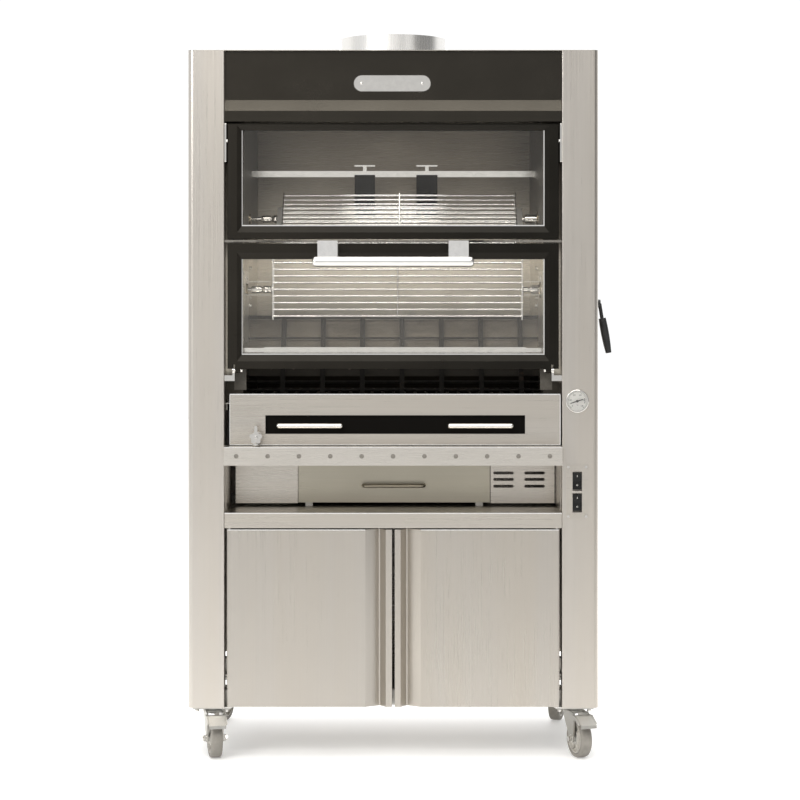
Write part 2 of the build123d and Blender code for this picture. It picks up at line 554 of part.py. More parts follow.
# ---------------------------------------------------------------- drip drawer and tap
TAP_X, TAP_Z = -358.0, 845.0
with BuildPart() as drip_drawer_front:
    block(-430, 440, F, F + 20, DRAWER_Z0, DRAWER_Z1)
    fillet(faces().sort_by(Axis.Y)[0].edges(), 1.0)
    block(-428.5, 438.5, F + T, F + 25, DRAWER_Z0 + T, DRAWER_Z1 - T, Mode.SUBTRACT)
    block(-336, 347, F - 5, F + 5, 852, 901, Mode.SUBTRACT)
    rod((TAP_X, F - 5, TAP_Z), (TAP_X, F + 5, TAP_Z), 8.05, Mode.SUBTRACT)
drip_drawer_front.part.label = "drip_drawer_front"
export_step(drip_drawer_front.part, "parts/drip_drawer_front.step")

with BuildPart() as drip_drawer_inset:
    block(-340, 351, F + 8, F + 9.5, 848, 905)
    for za, zb in ((849, 851.9), (901.1, 904)):
        block(-340, 351, F + T + 0.05, F + 8.5, za, zb)
drip_drawer_inset.part.label = "drip_drawer_inset"
export_step(drip_drawer_inset.part, "parts/drip_drawer_inset.step")

HR = 6.2        # bar radius of the two handles
with BuildPart() as drip_drawer_handles:
    for hx0, hx1 in ((-306, -132), (143, 316)):
        rod((hx0 + HR, F - 18, 874), (hx1 - HR, F - 18, 874), HR)
        rod((hx0 + HR, F - 18, 874), (hx0 + HR, F + 8, 874), HR)
        rod((hx1 - HR, F - 18, 874), (hx1 - HR, F + 8, 874), HR)
        with Locations((hx0 + HR, F - 18, 874), (hx1 - HR, F - 18, 874)):
            Sphere(HR)
drip_drawer_handles.part.label = "drip_drawer_handles"
export_step(drip_drawer_handles.part, "parts/drip_drawer_handles.step")

PAN_D1 = 142.0
with BuildPart() as drip_pan:
    block(-392, 392, F + 20, F + PAN_D1, 842, 934)
    block(-390.5, 390.5, F + 21.5, F + PAN_D1 - T, 843.5, 940, Mode.SUBTRACT)
    # side flanges that slide on the runners
    block(-408, -390.6, F + 20, F + PAN_D1, 932.5, 934)
    block(390.6, 408, F + 20, F + PAN_D1, 932.5, 934)
    rod((TAP_X, F + 19, TAP_Z + 6), (TAP_X, F + 25, TAP_Z + 6), 5, Mode.SUBTRACT)
drip_pan.part.label = "drip_pan"
export_step(drip_pan.part, "parts/drip_pan.step")

with BuildPart() as tap_body:
    rod((TAP_X, F + 20, TAP_Z), (TAP_X, F - 12, TAP_Z), 8)
    rod((TAP_X, F - 0.05, TAP_Z), (TAP_X, F - 3, TAP_Z), 13)
    rod((TAP_X, F - 10, TAP_Z), (TAP_X, F - 38, TAP_Z), 11)
    with Locations((TAP_X, F - 26, TAP_Z)):
        Sphere(12.5)
    rod((TAP_X, F - 26, TAP_Z), (TAP_X, F - 26, 823), 8.5)
    rod((TAP_X, F - 26, 829), (TAP_X, F - 26, 822.5), 10)
    rod((TAP_X, F - 26, 832), (TAP_X, F - 26, 820), 5.5, Mode.SUBTRACT)
    rod((TAP_X, F - 38, TAP_Z), (TAP_X, F - 41, TAP_Z), 6)
    rod((TAP_X, F - 41, TAP_Z), (TAP_X, F - 50, TAP_Z), 3)
tap_body.part.label = "tap_body"
export_step(tap_body.part, "parts/tap_body.step")

with BuildPart() as tap_lever:
    with BuildSketch(Plane.XZ.offset(-(F - 41.3))):
        with Locations((TAP_X, TAP_Z)):
            Circle(13)
            with PolarLocations(11.5, 5, start_angle=90):
                Circle(5.6)
        with Locations((TAP_X, TAP_Z + 21)):
            SlotOverall(20, 8, rotation=90)
    extrude(amount=7)
    rod((TAP_X, F - 40, TAP_Z), (TAP_X, F - 50, TAP_Z), 3.05, Mode.SUBTRACT)
tap_lever.part.label = "tap_lever"
export_step(tap_lever.part, "parts/tap_lever.step")

with BuildPart() as drawer_runners:
    for sx in (-1, 1):
        xa, xb = sorted((sx * 396, sx * 443.8))
        block(xa, xb, F + 24, F + 38, 930, 932)
        xa, xb = sorted((sx * 396, sx * 442))
        block(xa, xb, F + 24, F + 150, 930, 932)
        xa, xb = sorted((sx * 440, sx * 442))
        block(xa, xb, F + 44, F + 150, 912, 932)
        xa, xb = sorted((sx * 222 + 2, sx * 242 + 2))
        block(xa, xb, F + 206, F + 610, 644, 653.6)
drawer_runners.part.label = "drawer_runners"
export_step(drawer_runners.part, "parts/drawer_runners.step")

# ---------------------------------------------------------------- ash drawer
with BuildPart() as ash_drawer:
    block(-258.5, 262.5, F + 190, F + 203, 653.9, 768)
    block(-257, 261, F + 190 + T, F + 210, 655.4, 766.5, Mode.SUBTRACT)
    block(-252, 256, F + 191, F + 560, 653.9, 764)
    block(-250.5, 254.5, F + 192.5, F + 558.5, 655.4, 770, Mode.SUBTRACT)
    with BuildLine() as ash_bar:
        FilletPolyline((-81, F + 189.95, 701), (-81, F + 162, 701), (83, F + 162, 701), (83, F + 189.95, 701), radius=9)
    with BuildSketch(Plane(origin=(-81, F + 189.95, 701), z_dir=(0, -1, 0))):
        Circle(4.7)
    sweep(path=ash_bar.line)
ash_drawer.part.label = "ash_drawer"
export_step(ash_drawer.part, "parts/ash_drawer.step")

# ---------------------------------------------------------------- cupboard
with BuildPart() as cupboard_liner:
    for sx in (-1, 1):
        xa, xb = sorted((sx * 440, sx * 441.5))
        block(xa, xb, F + 50, F + 598, 173, 611 - 0.2)
    block(-439.8, 439.8, F + 50, F + 598, 171.2, 172.7)
    block(-439.8, 439.8, F + 596.5 - 1.5, F + 596.5 - 0.2, 173, 610.8)
cupboard_liner.part.label = "cupboard_liner"
export_step(cupboard_liner.part, "parts/cupboard_liner.step")

# plan profile of a door: flat panel, bevel going in, then the raised grip strip at the meeting edge
def cupboard_door(sx, x_free):
    with BuildSketch(Plane.XY.offset(CUP_Z0)) as sk1:
        with BuildLine():
            Polyline((sx * 436, F + 2), (sx * 73, F + 2), (sx * 38, F + 24), (sx * 34.5, F + 24),
                     (sx * 19.5, F + 2), (sx * x_free, F + 2), (sx * x_free, F + 27), (sx * 436, F + 27),
                     close=True)
        make_face()
    extrude(sk1.sketch, amount=CUP_Z1 - CUP_Z0)
    with BuildSketch(Plane.XY.offset(CUP_Z0 + T)) as sk2:
        with BuildLine():
            Polyline((sx * 434.5, F + 3.5), (sx * 72.5, F + 3.5), (sx * 38, F + 25.5), (sx * 33.7, F + 25.5),
                     (sx * 18.7, F + 3.5), (sx * (x_free + T), F + 3.5), (sx * (x_free + T), F + 40),
                     (sx * 434.5, F + 40), close=True)
        make_face()
    extrude(sk2.sketch, amount=CUP_Z1 - CUP_Z0 - 2 * T, mode=Mode.SUBTRACT)
    # pivot eyes in the top and bottom folds
    rod((sx * CUP_PIN[0], F + CUP_PIN[1], CUP_Z0 - 2), (sx * CUP_PIN[0], F + CUP_PIN[1], CUP_Z1 + 2), 3.05,
        Mode.SUBTRACT)


with BuildPart() as left_cupboard_door:
    cupboard_door(-1, 3.2)
left_cupboard_door.part.label = "left_cupboard_door"
export_step(left_cupboard_door.part, "parts/left_cupboard_door.step")

with BuildPart() as right_cupboard_door:
    cupboard_door(1, 4.2)
right_cupboard_door.part.label = "right_cupboard_door"
export_step(right_cupboard_door.part, "parts/right_cupboard_door.step")

# ---------------------------------------------------------------- thermometer
with BuildPart() as thermometer_body:
    rod((TH_X, F - 6, TH_Z), (TH_X, F, TH_Z), TH_R)
    fillet(edges().filter_by(GeomType.CIRCLE).sort_by(Axis.Y)[0], 2)
    rod((TH_X, F, TH_Z), (TH_X, F + 26, TH_Z), 27)
    rod((TH_X, F - 7, TH_Z), (TH_X, F - 1.5, TH_Z), 26.5, Mode.SUBTRACT)
    rod((TH_X, F - 1, TH_Z), (TH_X, F - 4.4, TH_Z), 1.0)
thermometer_body.part.label = "thermometer_body"
export_step(thermometer_body.part, "parts/thermometer_body.step")

with BuildPart() as thermometer_needle:
    pl = Plane(origin=(TH_X, F - 3.0, TH_Z), x_dir=(cos(radians(18)), 0, sin(radians(18))), z_dir=(0, -1, 0))
    with BuildSketch(pl):
        with BuildLine():
            Polyline((-20, -0.5), (-20, 0.5), (-4, 1.2), (16, 1.0), (16, -1.0), (-4, -1.2), close=True)
        make_face()
        Circle(3.2)
        Circle(1.05, mode=Mode.SUBTRACT)
    extrude(amount=0.8)
thermometer_needle.part.label = "thermometer_needle"
export_step(thermometer_needle.part, "parts/thermometer_needle.step")

# ---------------------------------------------------------------- switch plate and rockers
RK_X, RK_HW = 484.0, 12.0
RK = (("upper_rocker", 702.7, 752.5), ("lower_rocker", 646.0, 696.0))
with BuildPart() as switch_plate:
    block(SW_X0, SW_X1, F - 2, F, SW_Z0, SW_Z1)
    fillet(edges().filter_by(Axis.Y), 2)
    for name_, za, zb in RK:
        block(RK_X - RK_HW - 3, RK_X + RK_HW + 3, F, F + 24, za - 3, zb + 3)
    for name_, za, zb in RK:
        block(RK_X - RK_HW - 0.4, RK_X + RK_HW + 0.4, F - 3, F + 22, za - 0.4, zb + 0.4, Mode.SUBTRACT)
        zc = (za + zb) / 2
        rod((RK_X - RK_HW - 4, F + 6, zc), (RK_X + RK_HW + 4, F + 6, zc), 2.05, Mode.SUBTRACT)
    for sxx in (460, 507):
        for szz in (765, 635):
            rod((sxx, F - 3, szz), (sxx, F + 3, szz), 1.8, Mode.SUBTRACT)
switch_plate.part.label = "switch_plate"
export_step(switch_plate.part, "parts/switch_plate.step")


def rocker(za, zb):
    """wedge faced rocker on a cross pin; the upper half stands proud at rest"""
    zc = (za + zb) / 2
    h = (zb - za) / 2 - 3.2
    with BuildSketch(Plane.YZ.offset(RK_X - RK_HW)) as sk1:
        with BuildLine():
            Polyline((F - 5.5, zc + h), (F - 1.2, zc), (F - 1.0, zc - h), (F + 9, zc - h),
                     (F + 14, zc), (F + 6, zc + h), close=True)
        make_face()
    extrude(sk1.sketch, amount=2 * RK_HW)
    rod((RK_X - RK_HW - 2.8, F + 6, zc), (RK_X + RK_HW + 2.8, F + 6, zc), 2.0)


with BuildPart() as upper_rocker:
    rocker(RK[0][1], RK[0][2])
upper_rocker.part.label = "upper_rocker"
export_step(upper_rocker.part, "parts/upper_rocker.step")

with BuildPart() as lower_rocker:
    rocker(RK[1][1], RK[1][2])
lower_rocker.part.label = "lower_rocker"
export_step(lower_rocker.part, "parts/lower_rocker.step")

# rivets, screws and bolt heads; each one stands on its own surface
with BuildPart() as panel_fasteners:
    for bx_ in (-83.6, 76.4):
        rod((bx_, F + 9, BADGE_Z), (bx_, F + 7, BADGE_Z), 4.5)
        rod((bx_, F + 11.9, BADGE_Z), (bx_, F + 8.5, BADGE_Z), 1.95)
    for sxx in (460, 507):
        for szz in (765, 635):
            rod((sxx, F - 2, szz), (sxx, F - 3.4, szz), 3.2)
            rod((sxx, F - 0.1, szz), (sxx, F - 3, szz), 1.75)
    # bolt heads on the chamber walls beside the lower basket
    for d, z, r in ((288, 1292.6, 5.5), (288, 1210.6, 3.5), (288, 1190, 5.5), (138, 1264, 4.5)):
        rod((CH_X, F + d, z), (CH_X - 5, F + d, z), r)
        rod((-CH_X, F + d, z), (-CH_X + 5, F + d, z), r)
panel_fasteners.part.label = "panel_fasteners"
export_step(panel_fasteners.part, "parts/panel_fasteners.step")

# ---------------------------------------------------------------- side lever with shutter disc
LY, LZ = F + LEVER[0], LEVER[1]
with BuildPart() as air_lever:
    rod((400.2, LY, LZ), (402.2, LY, LZ), 33)
    for a in (45, 135, 225, 315):
        yy, zz = LY + 22 * cos(radians(a)), LZ + 22 * sin(radians(a))
        rod((399, yy, zz), (404, yy, zz), 6, Mode.SUBTRACT)
    rod((400.2, LY, LZ), (562, LY, LZ), 6)
    rod((541, LY, LZ), (552, LY, LZ), 15)
    rod((558, LY, LZ), (564, LY, LZ), 11)
    rod((562, LY, LZ), (569, LY, LZ - 44), 5)
    pl = Plane(origin=(569, LY, LZ - 40), x_dir=(1, 0, 0.2), z_dir=(0.185, 0, -1))
    with BuildSketch(pl):
        RectangleRounded(19, 24, 8)
    with BuildSketch(pl.offset(50)):
        RectangleRounded(21, 26, 9)
    with BuildSketch(pl.offset(96)):
        RectangleRounded(15, 20, 6)
    loft()
air_lever.part.label = "air_lever"
export_step(air_lever.part, "parts/air_lever.step")

with BuildPart() as cable_gland:
    rod((GLAND_X, F + 652, GLAND_Z), (GLAND_X, F + 662, GLAND_Z), 10)
    with BuildSketch(Plane.XZ.offset(-(F + 660))):
        with Locations((GLAND_X, GLAND_Z)):
            RegularPolygon(13, 6)
    extrude(amount=-7)
    rod((GLAND_X, F + 666, GLAND_Z), (GLAND_X, F + 680, GLAND_Z), 11)
    fillet(edges().filter_by(GeomType.CIRCLE).sort_by(Axis.Y)[-1], 3)
    with BuildSketch(Plane.XZ.offset(-(F + 652))):
        with Locations((GLAND_X, GLAND_Z)):
            RegularPolygon(13, 6)
    extrude(amount=-6)
    rod((GLAND_X, F + 640, GLAND_Z), (GLAND_X, F + 690, GLAND_Z), 5, Mode.SUBTRACT)
cable_gland.part.label = "cable_gland"
export_step(cable_gland.part, "parts/cable_gland.step")

# ---------------------------------------------------------------- castors
PEDAL = (-46.0, 108.0)      # local y and height of the pedal pivot
CASTORS = (("front_left", -CAST_X, CAST_D[0], 12.5), ("front_right", CAST_X, CAST_D[0], 20.0),
           ("rear_left", -CAST_X, CAST_D[1], -16.0), ("rear_right", CAST_X, CAST_D[1], -16.0))
with BuildPart() as castor_plates:
    for nm, cx, cd, yaw in CASTORS:
        cy = F + cd
        block(cx - 50, cx + 50, cy - 42, cy + 42, Z_BOT - 4, Z_BOT)
        with Locations((cx, cy, Z_BOT - 6)):
            Cylinder(24, 4)
            Cylinder(18, 8)
        rod((cx, cy, 112), (cx, cy, Z_BOT), 6)
        rod((cx, cy, 109), (cx, cy, 113.6), 10)
        for ax in (-39, 39):
            for ay in (-32, 32):
                rod((cx + ax, cy + ay, Z_BOT - 8), (cx + ax, cy + ay, Z_BOT - 4), 6)
castor_plates.part.label = "castor_plates"
export_step(castor_plates.part, "parts/castor_plates.step")


def cast_plane(cx, cd, yaw):
    a = radians(yaw)
    return Plane(origin=(cx, F + cd, 0), x_dir=(cos(a), sin(a), 0), z_dir=(0, 0, 1))


def fork(pl):
    with Locations(pl.location):
        with Locations((0, 0, 117.2)):
            Cylinder(25, 6.6)
        for sx in (-1, 1):
            with Locations((sx * 20.5, -TRAIL / 2 + 2, 111.5)):
                Box(4, 46, 14)
        with Locations((0, -3, 117)):
            Box(45, 44, 6)
    # cheeks down to the axle
    side = Plane(origin=pl.origin, x_dir=pl.y_dir, z_dir=pl.x_dir)
    for off in (-22.5, 18.5):
        with BuildSketch(side.offset(off)) as sk1:
            with BuildLine():
                Polyline((16, 118), (-TRAIL - 14, 118), (-TRAIL - 14, 104), (-TRAIL - 9, 42), (-TRAIL + 9, 42),
                         (14, 104), close=True)
            make_face()
        extrude(sk1.sketch, amount=4)
    with Locations(pl.location):
        with Locations((0, -TRAIL, WHEEL_R)):
            Cylinder(5, 49, rotation=(0, 90, 0))
        for sx in (-1, 1):
            with Locations((sx * 25.5, -TRAIL, WHEEL_R)):
                Cylinder(8, 6, rotation=(0, 90, 0))
        with Locations((0, 0, 117)):
            Cylinder(6.05, 20, mode=Mode.SUBTRACT)
        with Locations((0, 0, 110)):
            Cylinder(14, 7.6, mode=Mode.SUBTRACT)
        with Locations((0, PEDAL[0], PEDAL[1])):
            Cylinder(2.05, 60, rotation=(0, 90, 0), mode=Mode.SUBTRACT)


def wheel(pl):
    with Locations(pl.location):
        with Locations((0, -TRAIL, WHEEL_R)):
            Cylinder(WHEEL_R, 32, rotation=(0, 90, 0))
            Cylinder(16, 35.6, rotation=(0, 90, 0))
            Cylinder(5.05, 60, rotation=(0, 90, 0), mode=Mode.SUBTRACT)
    fillet(edges().filter_by(GeomType.CIRCLE).filter_by(lambda e: abs(e.radius - WHEEL_R) < 0.01), 6)
    # dished sides between the tread and the hub
    for sx in (-1, 1):
        with Locations(pl.location):
            with Locations((sx * 16, -TRAIL, WHEEL_R)):
                Cylinder(37, 8, rotation=(0, 90, 0), mode=Mode.SUBTRACT)
            with Locations((sx * 14, -TRAIL, WHEEL_R)):
                Cylinder(16, 7.6, rotation=(0, 90, 0))
                Cylinder(5.05, 20, rotation=(0, 90, 0), mode=Mode.SUBTRACT)


def pedal(pl):
    side = Plane(origin=pl.origin, x_dir=pl.y_dir, z_dir=pl.x_dir)
    with BuildSketch(side.offset(-22)) as sk1:
        with BuildLine():
            Polyline((-55, 114), (-64, 113), (-97, 93), (-98, 85), (-95.5, 85), (-94.5, 91.5), (-63, 110.3),
                     (-55, 111), close=True)
        make_face()
    extrude(sk1.sketch, amount=44)
    for off in (-26.3, 22.8):
        with BuildSketch(side.offset(off)) as sk2:
            with BuildLine():
                Polyline((-42, 113.5), (-64, 113), (-90, 97), (-88, 93), (-64, 104), (-42, 102.5), close=True)
            make_face()
        extrude(sk2.sketch, amount=3.5)
    with Locations(pl.location):
        with Locations((0, -60, 112)):
            Box(52, 6, 3)
        for sx in (-1, 1):
            with Locations((sx * 21.2, PEDAL[0], PEDAL[1])):
                Cylinder(2.0, 4.4, rotation=(0, 90, 0))


with BuildPart() as front_left_fork:
    fork(cast_plane(*CASTORS[0][1:]))
front_left_fork.part.label = "front_left_fork"
export_step(front_left_fork.part, "parts/front_left_fork.step")
with BuildPart() as front_right_fork:
    fork(cast_plane(*CASTORS[1][1:]))
front_right_fork.part.label = "front_right_fork"
export_step(front_right_fork.part, "parts/front_right_fork.step")
with BuildPart() as rear_left_fork:
    fork(cast_plane(*CASTORS[2][1:]))
rear_left_fork.part.label = "rear_left_fork"
export_step(rear_left_fork.part, "parts/rear_left_fork.step")
with BuildPart() as rear_right_fork:
    fork(cast_plane(*CASTORS[3][1:]))
rear_right_fork.part.label = "rear_right_fork"
export_step(rear_right_fork.part, "parts/rear_right_fork.step")

with BuildPart() as front_left_wheel:
    wheel(cast_plane(*CASTORS[0][1:]))
front_left_wheel.part.label = "front_left_wheel"
export_step(front_left_wheel.part, "parts/front_left_wheel.step")
with BuildPart() as front_right_wheel:
    wheel(cast_plane(*CASTORS[1][1:]))
front_right_wheel.part.label = "front_right_wheel"
export_step(front_right_wheel.part, "parts/front_right_wheel.step")
with BuildPart() as rear_left_wheel:
    wheel(cast_plane(*CASTORS[2][1:]))
rear_left_wheel.part.label = "rear_left_wheel"
export_step(rear_left_wheel.part, "parts/rear_left_wheel.step")
with BuildPart() as rear_right_wheel:
    wheel(cast_plane(*CASTORS[3][1:]))
rear_right_wheel.part.label = "rear_right_wheel"
export_step(rear_right_wheel.part, "parts/rear_right_wheel.step")

with BuildPart() as left_brake_pedal:
    pedal(cast_plane(*CASTORS[0][1:]))
left_brake_pedal.part.label = "left_brake_pedal"
export_step(left_brake_pedal.part, "parts/left_brake_pedal.step")
with BuildPart() as right_brake_pedal:
    pedal(cast_plane(*CASTORS[1][1:]))
right_brake_pedal.part.label = "right_brake_pedal"
export_step(right_brake_pedal.part, "parts/right_brake_pedal.step")
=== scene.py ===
import bpy, bmesh, math, random
from mathutils import Vector, Matrix
from math import sin, cos, pi, radians


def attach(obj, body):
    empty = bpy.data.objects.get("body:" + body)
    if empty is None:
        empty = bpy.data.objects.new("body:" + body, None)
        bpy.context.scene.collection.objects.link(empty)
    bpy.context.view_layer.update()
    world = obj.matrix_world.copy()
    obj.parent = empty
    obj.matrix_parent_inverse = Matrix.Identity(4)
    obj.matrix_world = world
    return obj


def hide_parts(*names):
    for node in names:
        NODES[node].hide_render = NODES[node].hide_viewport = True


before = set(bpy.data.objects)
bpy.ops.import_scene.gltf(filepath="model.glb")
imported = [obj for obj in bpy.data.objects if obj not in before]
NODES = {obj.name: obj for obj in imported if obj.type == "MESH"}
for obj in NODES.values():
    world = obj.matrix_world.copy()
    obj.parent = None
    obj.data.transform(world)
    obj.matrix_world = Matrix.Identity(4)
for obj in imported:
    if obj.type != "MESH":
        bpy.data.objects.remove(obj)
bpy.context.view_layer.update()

random.seed(7)
S = bpy.context.scene
F = -0.330              # front plane of the cabinet

# ------------------------------------------------------------------ node helpers
class NT:
    def __init__(self, name):
        self.m = bpy.data.materials.new(name)
        self.m.use_nodes = True
        self.t = self.m.node_tree
        self.t.nodes.clear()
        self.out = self.t.nodes.new("ShaderNodeOutputMaterial")

    def n(self, kind, **kw):
        nd = self.t.nodes.new(kind)
        for k, v in kw.items():
            setattr(nd, k, v)
        return nd

    def link(self, a, b):
        self.t.links.new(a, b)

    def coords(self, scale=(1, 1, 1), rot=(0, 0, 0), loc=(0, 0, 0)):
        tc = self.n("ShaderNodeTexCoord")
        mp = self.n("ShaderNodeMapping")
        mp.inputs["Scale"].default_value = scale
        mp.inputs["Rotation"].default_value = rot
        mp.inputs["Location"].default_value = loc
        self.link(tc.outputs["Object"], mp.inputs["Vector"])
        return mp.outputs["Vector"]

    def noise(self, scale3, scale=1.0, detail=3.0, rough=0.5, loc=(0, 0, 0), distortion=0.0):
        nz = self.n("ShaderNodeTexNoise")
        nz.inputs["Scale"].default_value = scale
        nz.inputs["Detail"].default_value = detail
        nz.inputs["Roughness"].default_value = rough
        nz.inputs["Distortion"].default_value = distortion
        self.link(self.coords(scale3, loc=loc), nz.inputs["Vector"])
        return nz.outputs["Fac"]

    def remap(self, fac, a, b, c, d):
        mr = self.n("ShaderNodeMapRange")
        for k, v in zip(("From Min", "From Max", "To Min", "To Max"), (a, b, c, d)):
            mr.inputs[k].default_value = v
        self.link(fac, mr.inputs["Value"])
        return mr.outputs["Result"]

    def mix(self, fac, c1, c2, blend="MIX"):
        mx = self.n("ShaderNodeMix", data_type="RGBA", blend_type=blend)
        if isinstance(fac, (int, float)):
            mx.inputs[0].default_value = fac
        else:
            self.link(fac, mx.inputs[0])
        for sock, c in ((mx.inputs[6], c1), (mx.inputs[7], c2)):
            if isinstance(c, (tuple, list)):
                sock.default_value = (*c[:3], 1)
            else:
                self.link(c, sock)
        return mx.outputs[2]

    def math(self, op, a, b=0.0):
        md = self.n("ShaderNodeMath", operation=op)
        for i, v in enumerate((a, b)):
            if isinstance(v, (int, float)):
                md.inputs[i].default_value = v
            else:
                self.link(v, md.inputs[i])
        return md.outputs[0]

    def bump(self, height, strength, distance, normal=None):
        b = self.n("ShaderNodeBump")
        b.inputs["Strength"].default_value = strength
        b.inputs["Distance"].default_value = distance
        self.link(height, b.inputs["Height"])
        if normal is not None:
            self.link(normal, b.inputs["Normal"])
        return b.outputs["Normal"]

    def principled(self, color, rough, metal=0.0, normal=None, **sockets):
        p = self.n("ShaderNodeBsdfPrincipled")
        for name, v in (("Base Color", color), ("Roughness", rough)):
            if isinstance(v, (tuple, list)):
                p.inputs[name].default_value = (*v[:3], 1)
            elif isinstance(v, (int, float)):
                p.inputs[name].default_value = v
            else:
                self.link(v, p.inputs[name])
        p.inputs["Metallic"].default_value = metal
        if normal is not None:
            self.link(normal, p.inputs["Normal"])
        for k, v in sockets.items():
            p.inputs[k.replace("_", " ")].default_value = v
        self.link(p.outputs[0], self.out.inputs["Surface"])
        return p


def steel(name, base, axis="z", rough=(0.24, 0.36), streak=0.06, smudge=0.05, bump=0.10):
    """brushed stainless: grain drawn out along one axis, faint rolling bands and hand smudges"""
    t = NT(name)
    def stretched(fine, along):
        v = {"x": (along, fine, fine), "y": (fine, along, fine), "z": (fine, fine, along)}[axis]
        return v
    fine = t.noise(stretched(1400, 9), detail=2, rough=0.6)
    mid = t.noise(stretched(240, 2.2), detail=3, rough=0.6, loc=(3, 1, 2))
    broad = t.noise(stretched(14, 0.7), detail=2, loc=(1, 7, 4))
    blot = t.noise((2.3, 2.3, 1.7), detail=4, rough=0.55, loc=(5, 2, 9))
    g = t.math("ADD", t.math("MULTIPLY", fine, 0.45), t.math("MULTIPLY", mid, 0.55))
    dark = tuple(c * (1 - 1.1 * streak) for c in base)
    light = tuple(min(1, c * (1 + 0.8 * streak)) for c in base)
    col = t.mix(t.remap(g, 0.32, 0.68, 0, 1), dark, light)
    warm = (base[0] * 1.0, base[1] * 0.975, base[2] * 0.93)
    col = t.mix(t.remap(broad, 0.35, 0.7, 0.0, 0.55), col, warm)
    col = t.mix(t.remap(blot, 0.46, 0.74, 0.0, smudge * 6), col, tuple(c * 0.86 for c in base))
    r = t.math("ADD", t.remap(g, 0.3, 0.7, rough[0], rough[1]), t.remap(blot, 0.35, 0.75, -0.02, 0.07))
    nrm = t.bump(g, bump * 0.55, 0.0004)
    t.principled(col, r, 1.0, nrm)
    return t.m


def polished(name, base, rough=(0.07, 0.14)):
    t = NT(name)
    a = t.noise((60, 60, 60), detail=4, rough=0.6)
    b = t.noise((900, 900, 60), detail=2, loc=(2, 2, 2))
    col = t.mix(t.remap(a, 0.35, 0.7, 0, 1), base, tuple(c * 0.93 for c in base))
    r = t.remap(a, 0.3, 0.7, rough[0], rough[1])
    t.principled(col, r, 1.0, t.bump(b, 0.03, 0.0002))
    return t.m


def paint(name, base, rough=(0.28, 0.42), spec=0.5, peel=0.08, dust=0.12, dustcol=(0.20, 0.18, 0.15), coat=0.0,
          painted_shade_right=None, tint=(1, 1, 1)):
    """stoved enamel: orange peel, dust settled unevenly and finger marks; an optional right-hand colour gives a painted
    shade, darker across x towards the right
    """
    t = NT(name)
    peeln = t.noise((420, 420, 420), detail=2)
    blot = t.noise((7, 7, 7), detail=5, rough=0.6, loc=(4, 1, 3))
    speck = t.noise((900, 900, 900), detail=1, loc=(8, 3, 1))
    if painted_shade_right:
        # painted shade: the colour darkens from left to right across x
        tc = t.n("ShaderNodeTexCoord")
        sx = t.n("ShaderNodeSeparateXYZ")
        t.link(tc.outputs["Object"], sx.inputs[0])
        base = t.mix(t.remap(sx.outputs["X"], -0.44, 0.44, 0, 1), base, painted_shade_right)
    col = t.mix(t.remap(blot, 0.42, 0.78, 0.0, dust), base, dustcol)
    col = t.mix(t.remap(speck, 0.70, 0.80, 0.0, 0.25), col, dustcol)
    r = t.math("ADD", t.remap(blot, 0.3, 0.7, rough[0], rough[1]), t.remap(peeln, 0.3, 0.7, -0.02, 0.03))
    p = t.principled(col, r, 0.0, t.bump(peeln, peel, 0.0006))
    p.inputs["Specular IOR Level"].default_value = spec
    p.inputs["Specular Tint"].default_value = (*tint, 1)
    p.inputs["Coat Weight"].default_value = coat
    p.inputs["Coat Roughness"].default_value = 0.12
    return t.m


def cast(name, base, rust=(0.16, 0.08, 0.04)):
    """heat-dried dark metal: scale, soot and a little rust bloom"""
    t = NT(name)
    a = t.noise((55, 55, 55), detail=6, rough=0.7)
    b = t.noise((330, 330, 330), detail=4, rough=0.7, loc=(1, 2, 3))
    c = t.noise((9, 9, 9), detail=4, loc=(6, 6, 1))
    col = t.mix(t.remap(a, 0.4, 0.7, 0, 1), base, tuple(x * 1.9 for x in base))
    col = t.mix(t.remap(c, 0.52, 0.75, 0, 0.45), col, rust)
    t.principled(col, t.remap(b, 0.3, 0.7, 0.55, 0.85), 0.35, t.bump(b, 0.35, 0.0012))
    return t.m


def plastic(name, base, rough=(0.34, 0.48), grain=900, bump=0.12, spec=0.5):
    t = NT(name)
    a = t.noise((grain, grain, grain), detail=2)
    b = t.noise((30, 30, 30), detail=4, loc=(2, 5, 1))
    col = t.mix(t.remap(b, 0.4, 0.7, 0, 1), base, tuple(min(1, x * 1.35 + 0.004) for x in base))
    p = t.principled(col, t.remap(b, 0.3, 0.7, rough[0], rough[1]), 0.0, t.bump(a, bump, 0.0004))
    p.inputs["Specular IOR Level"].default_value = spec
    return t.m


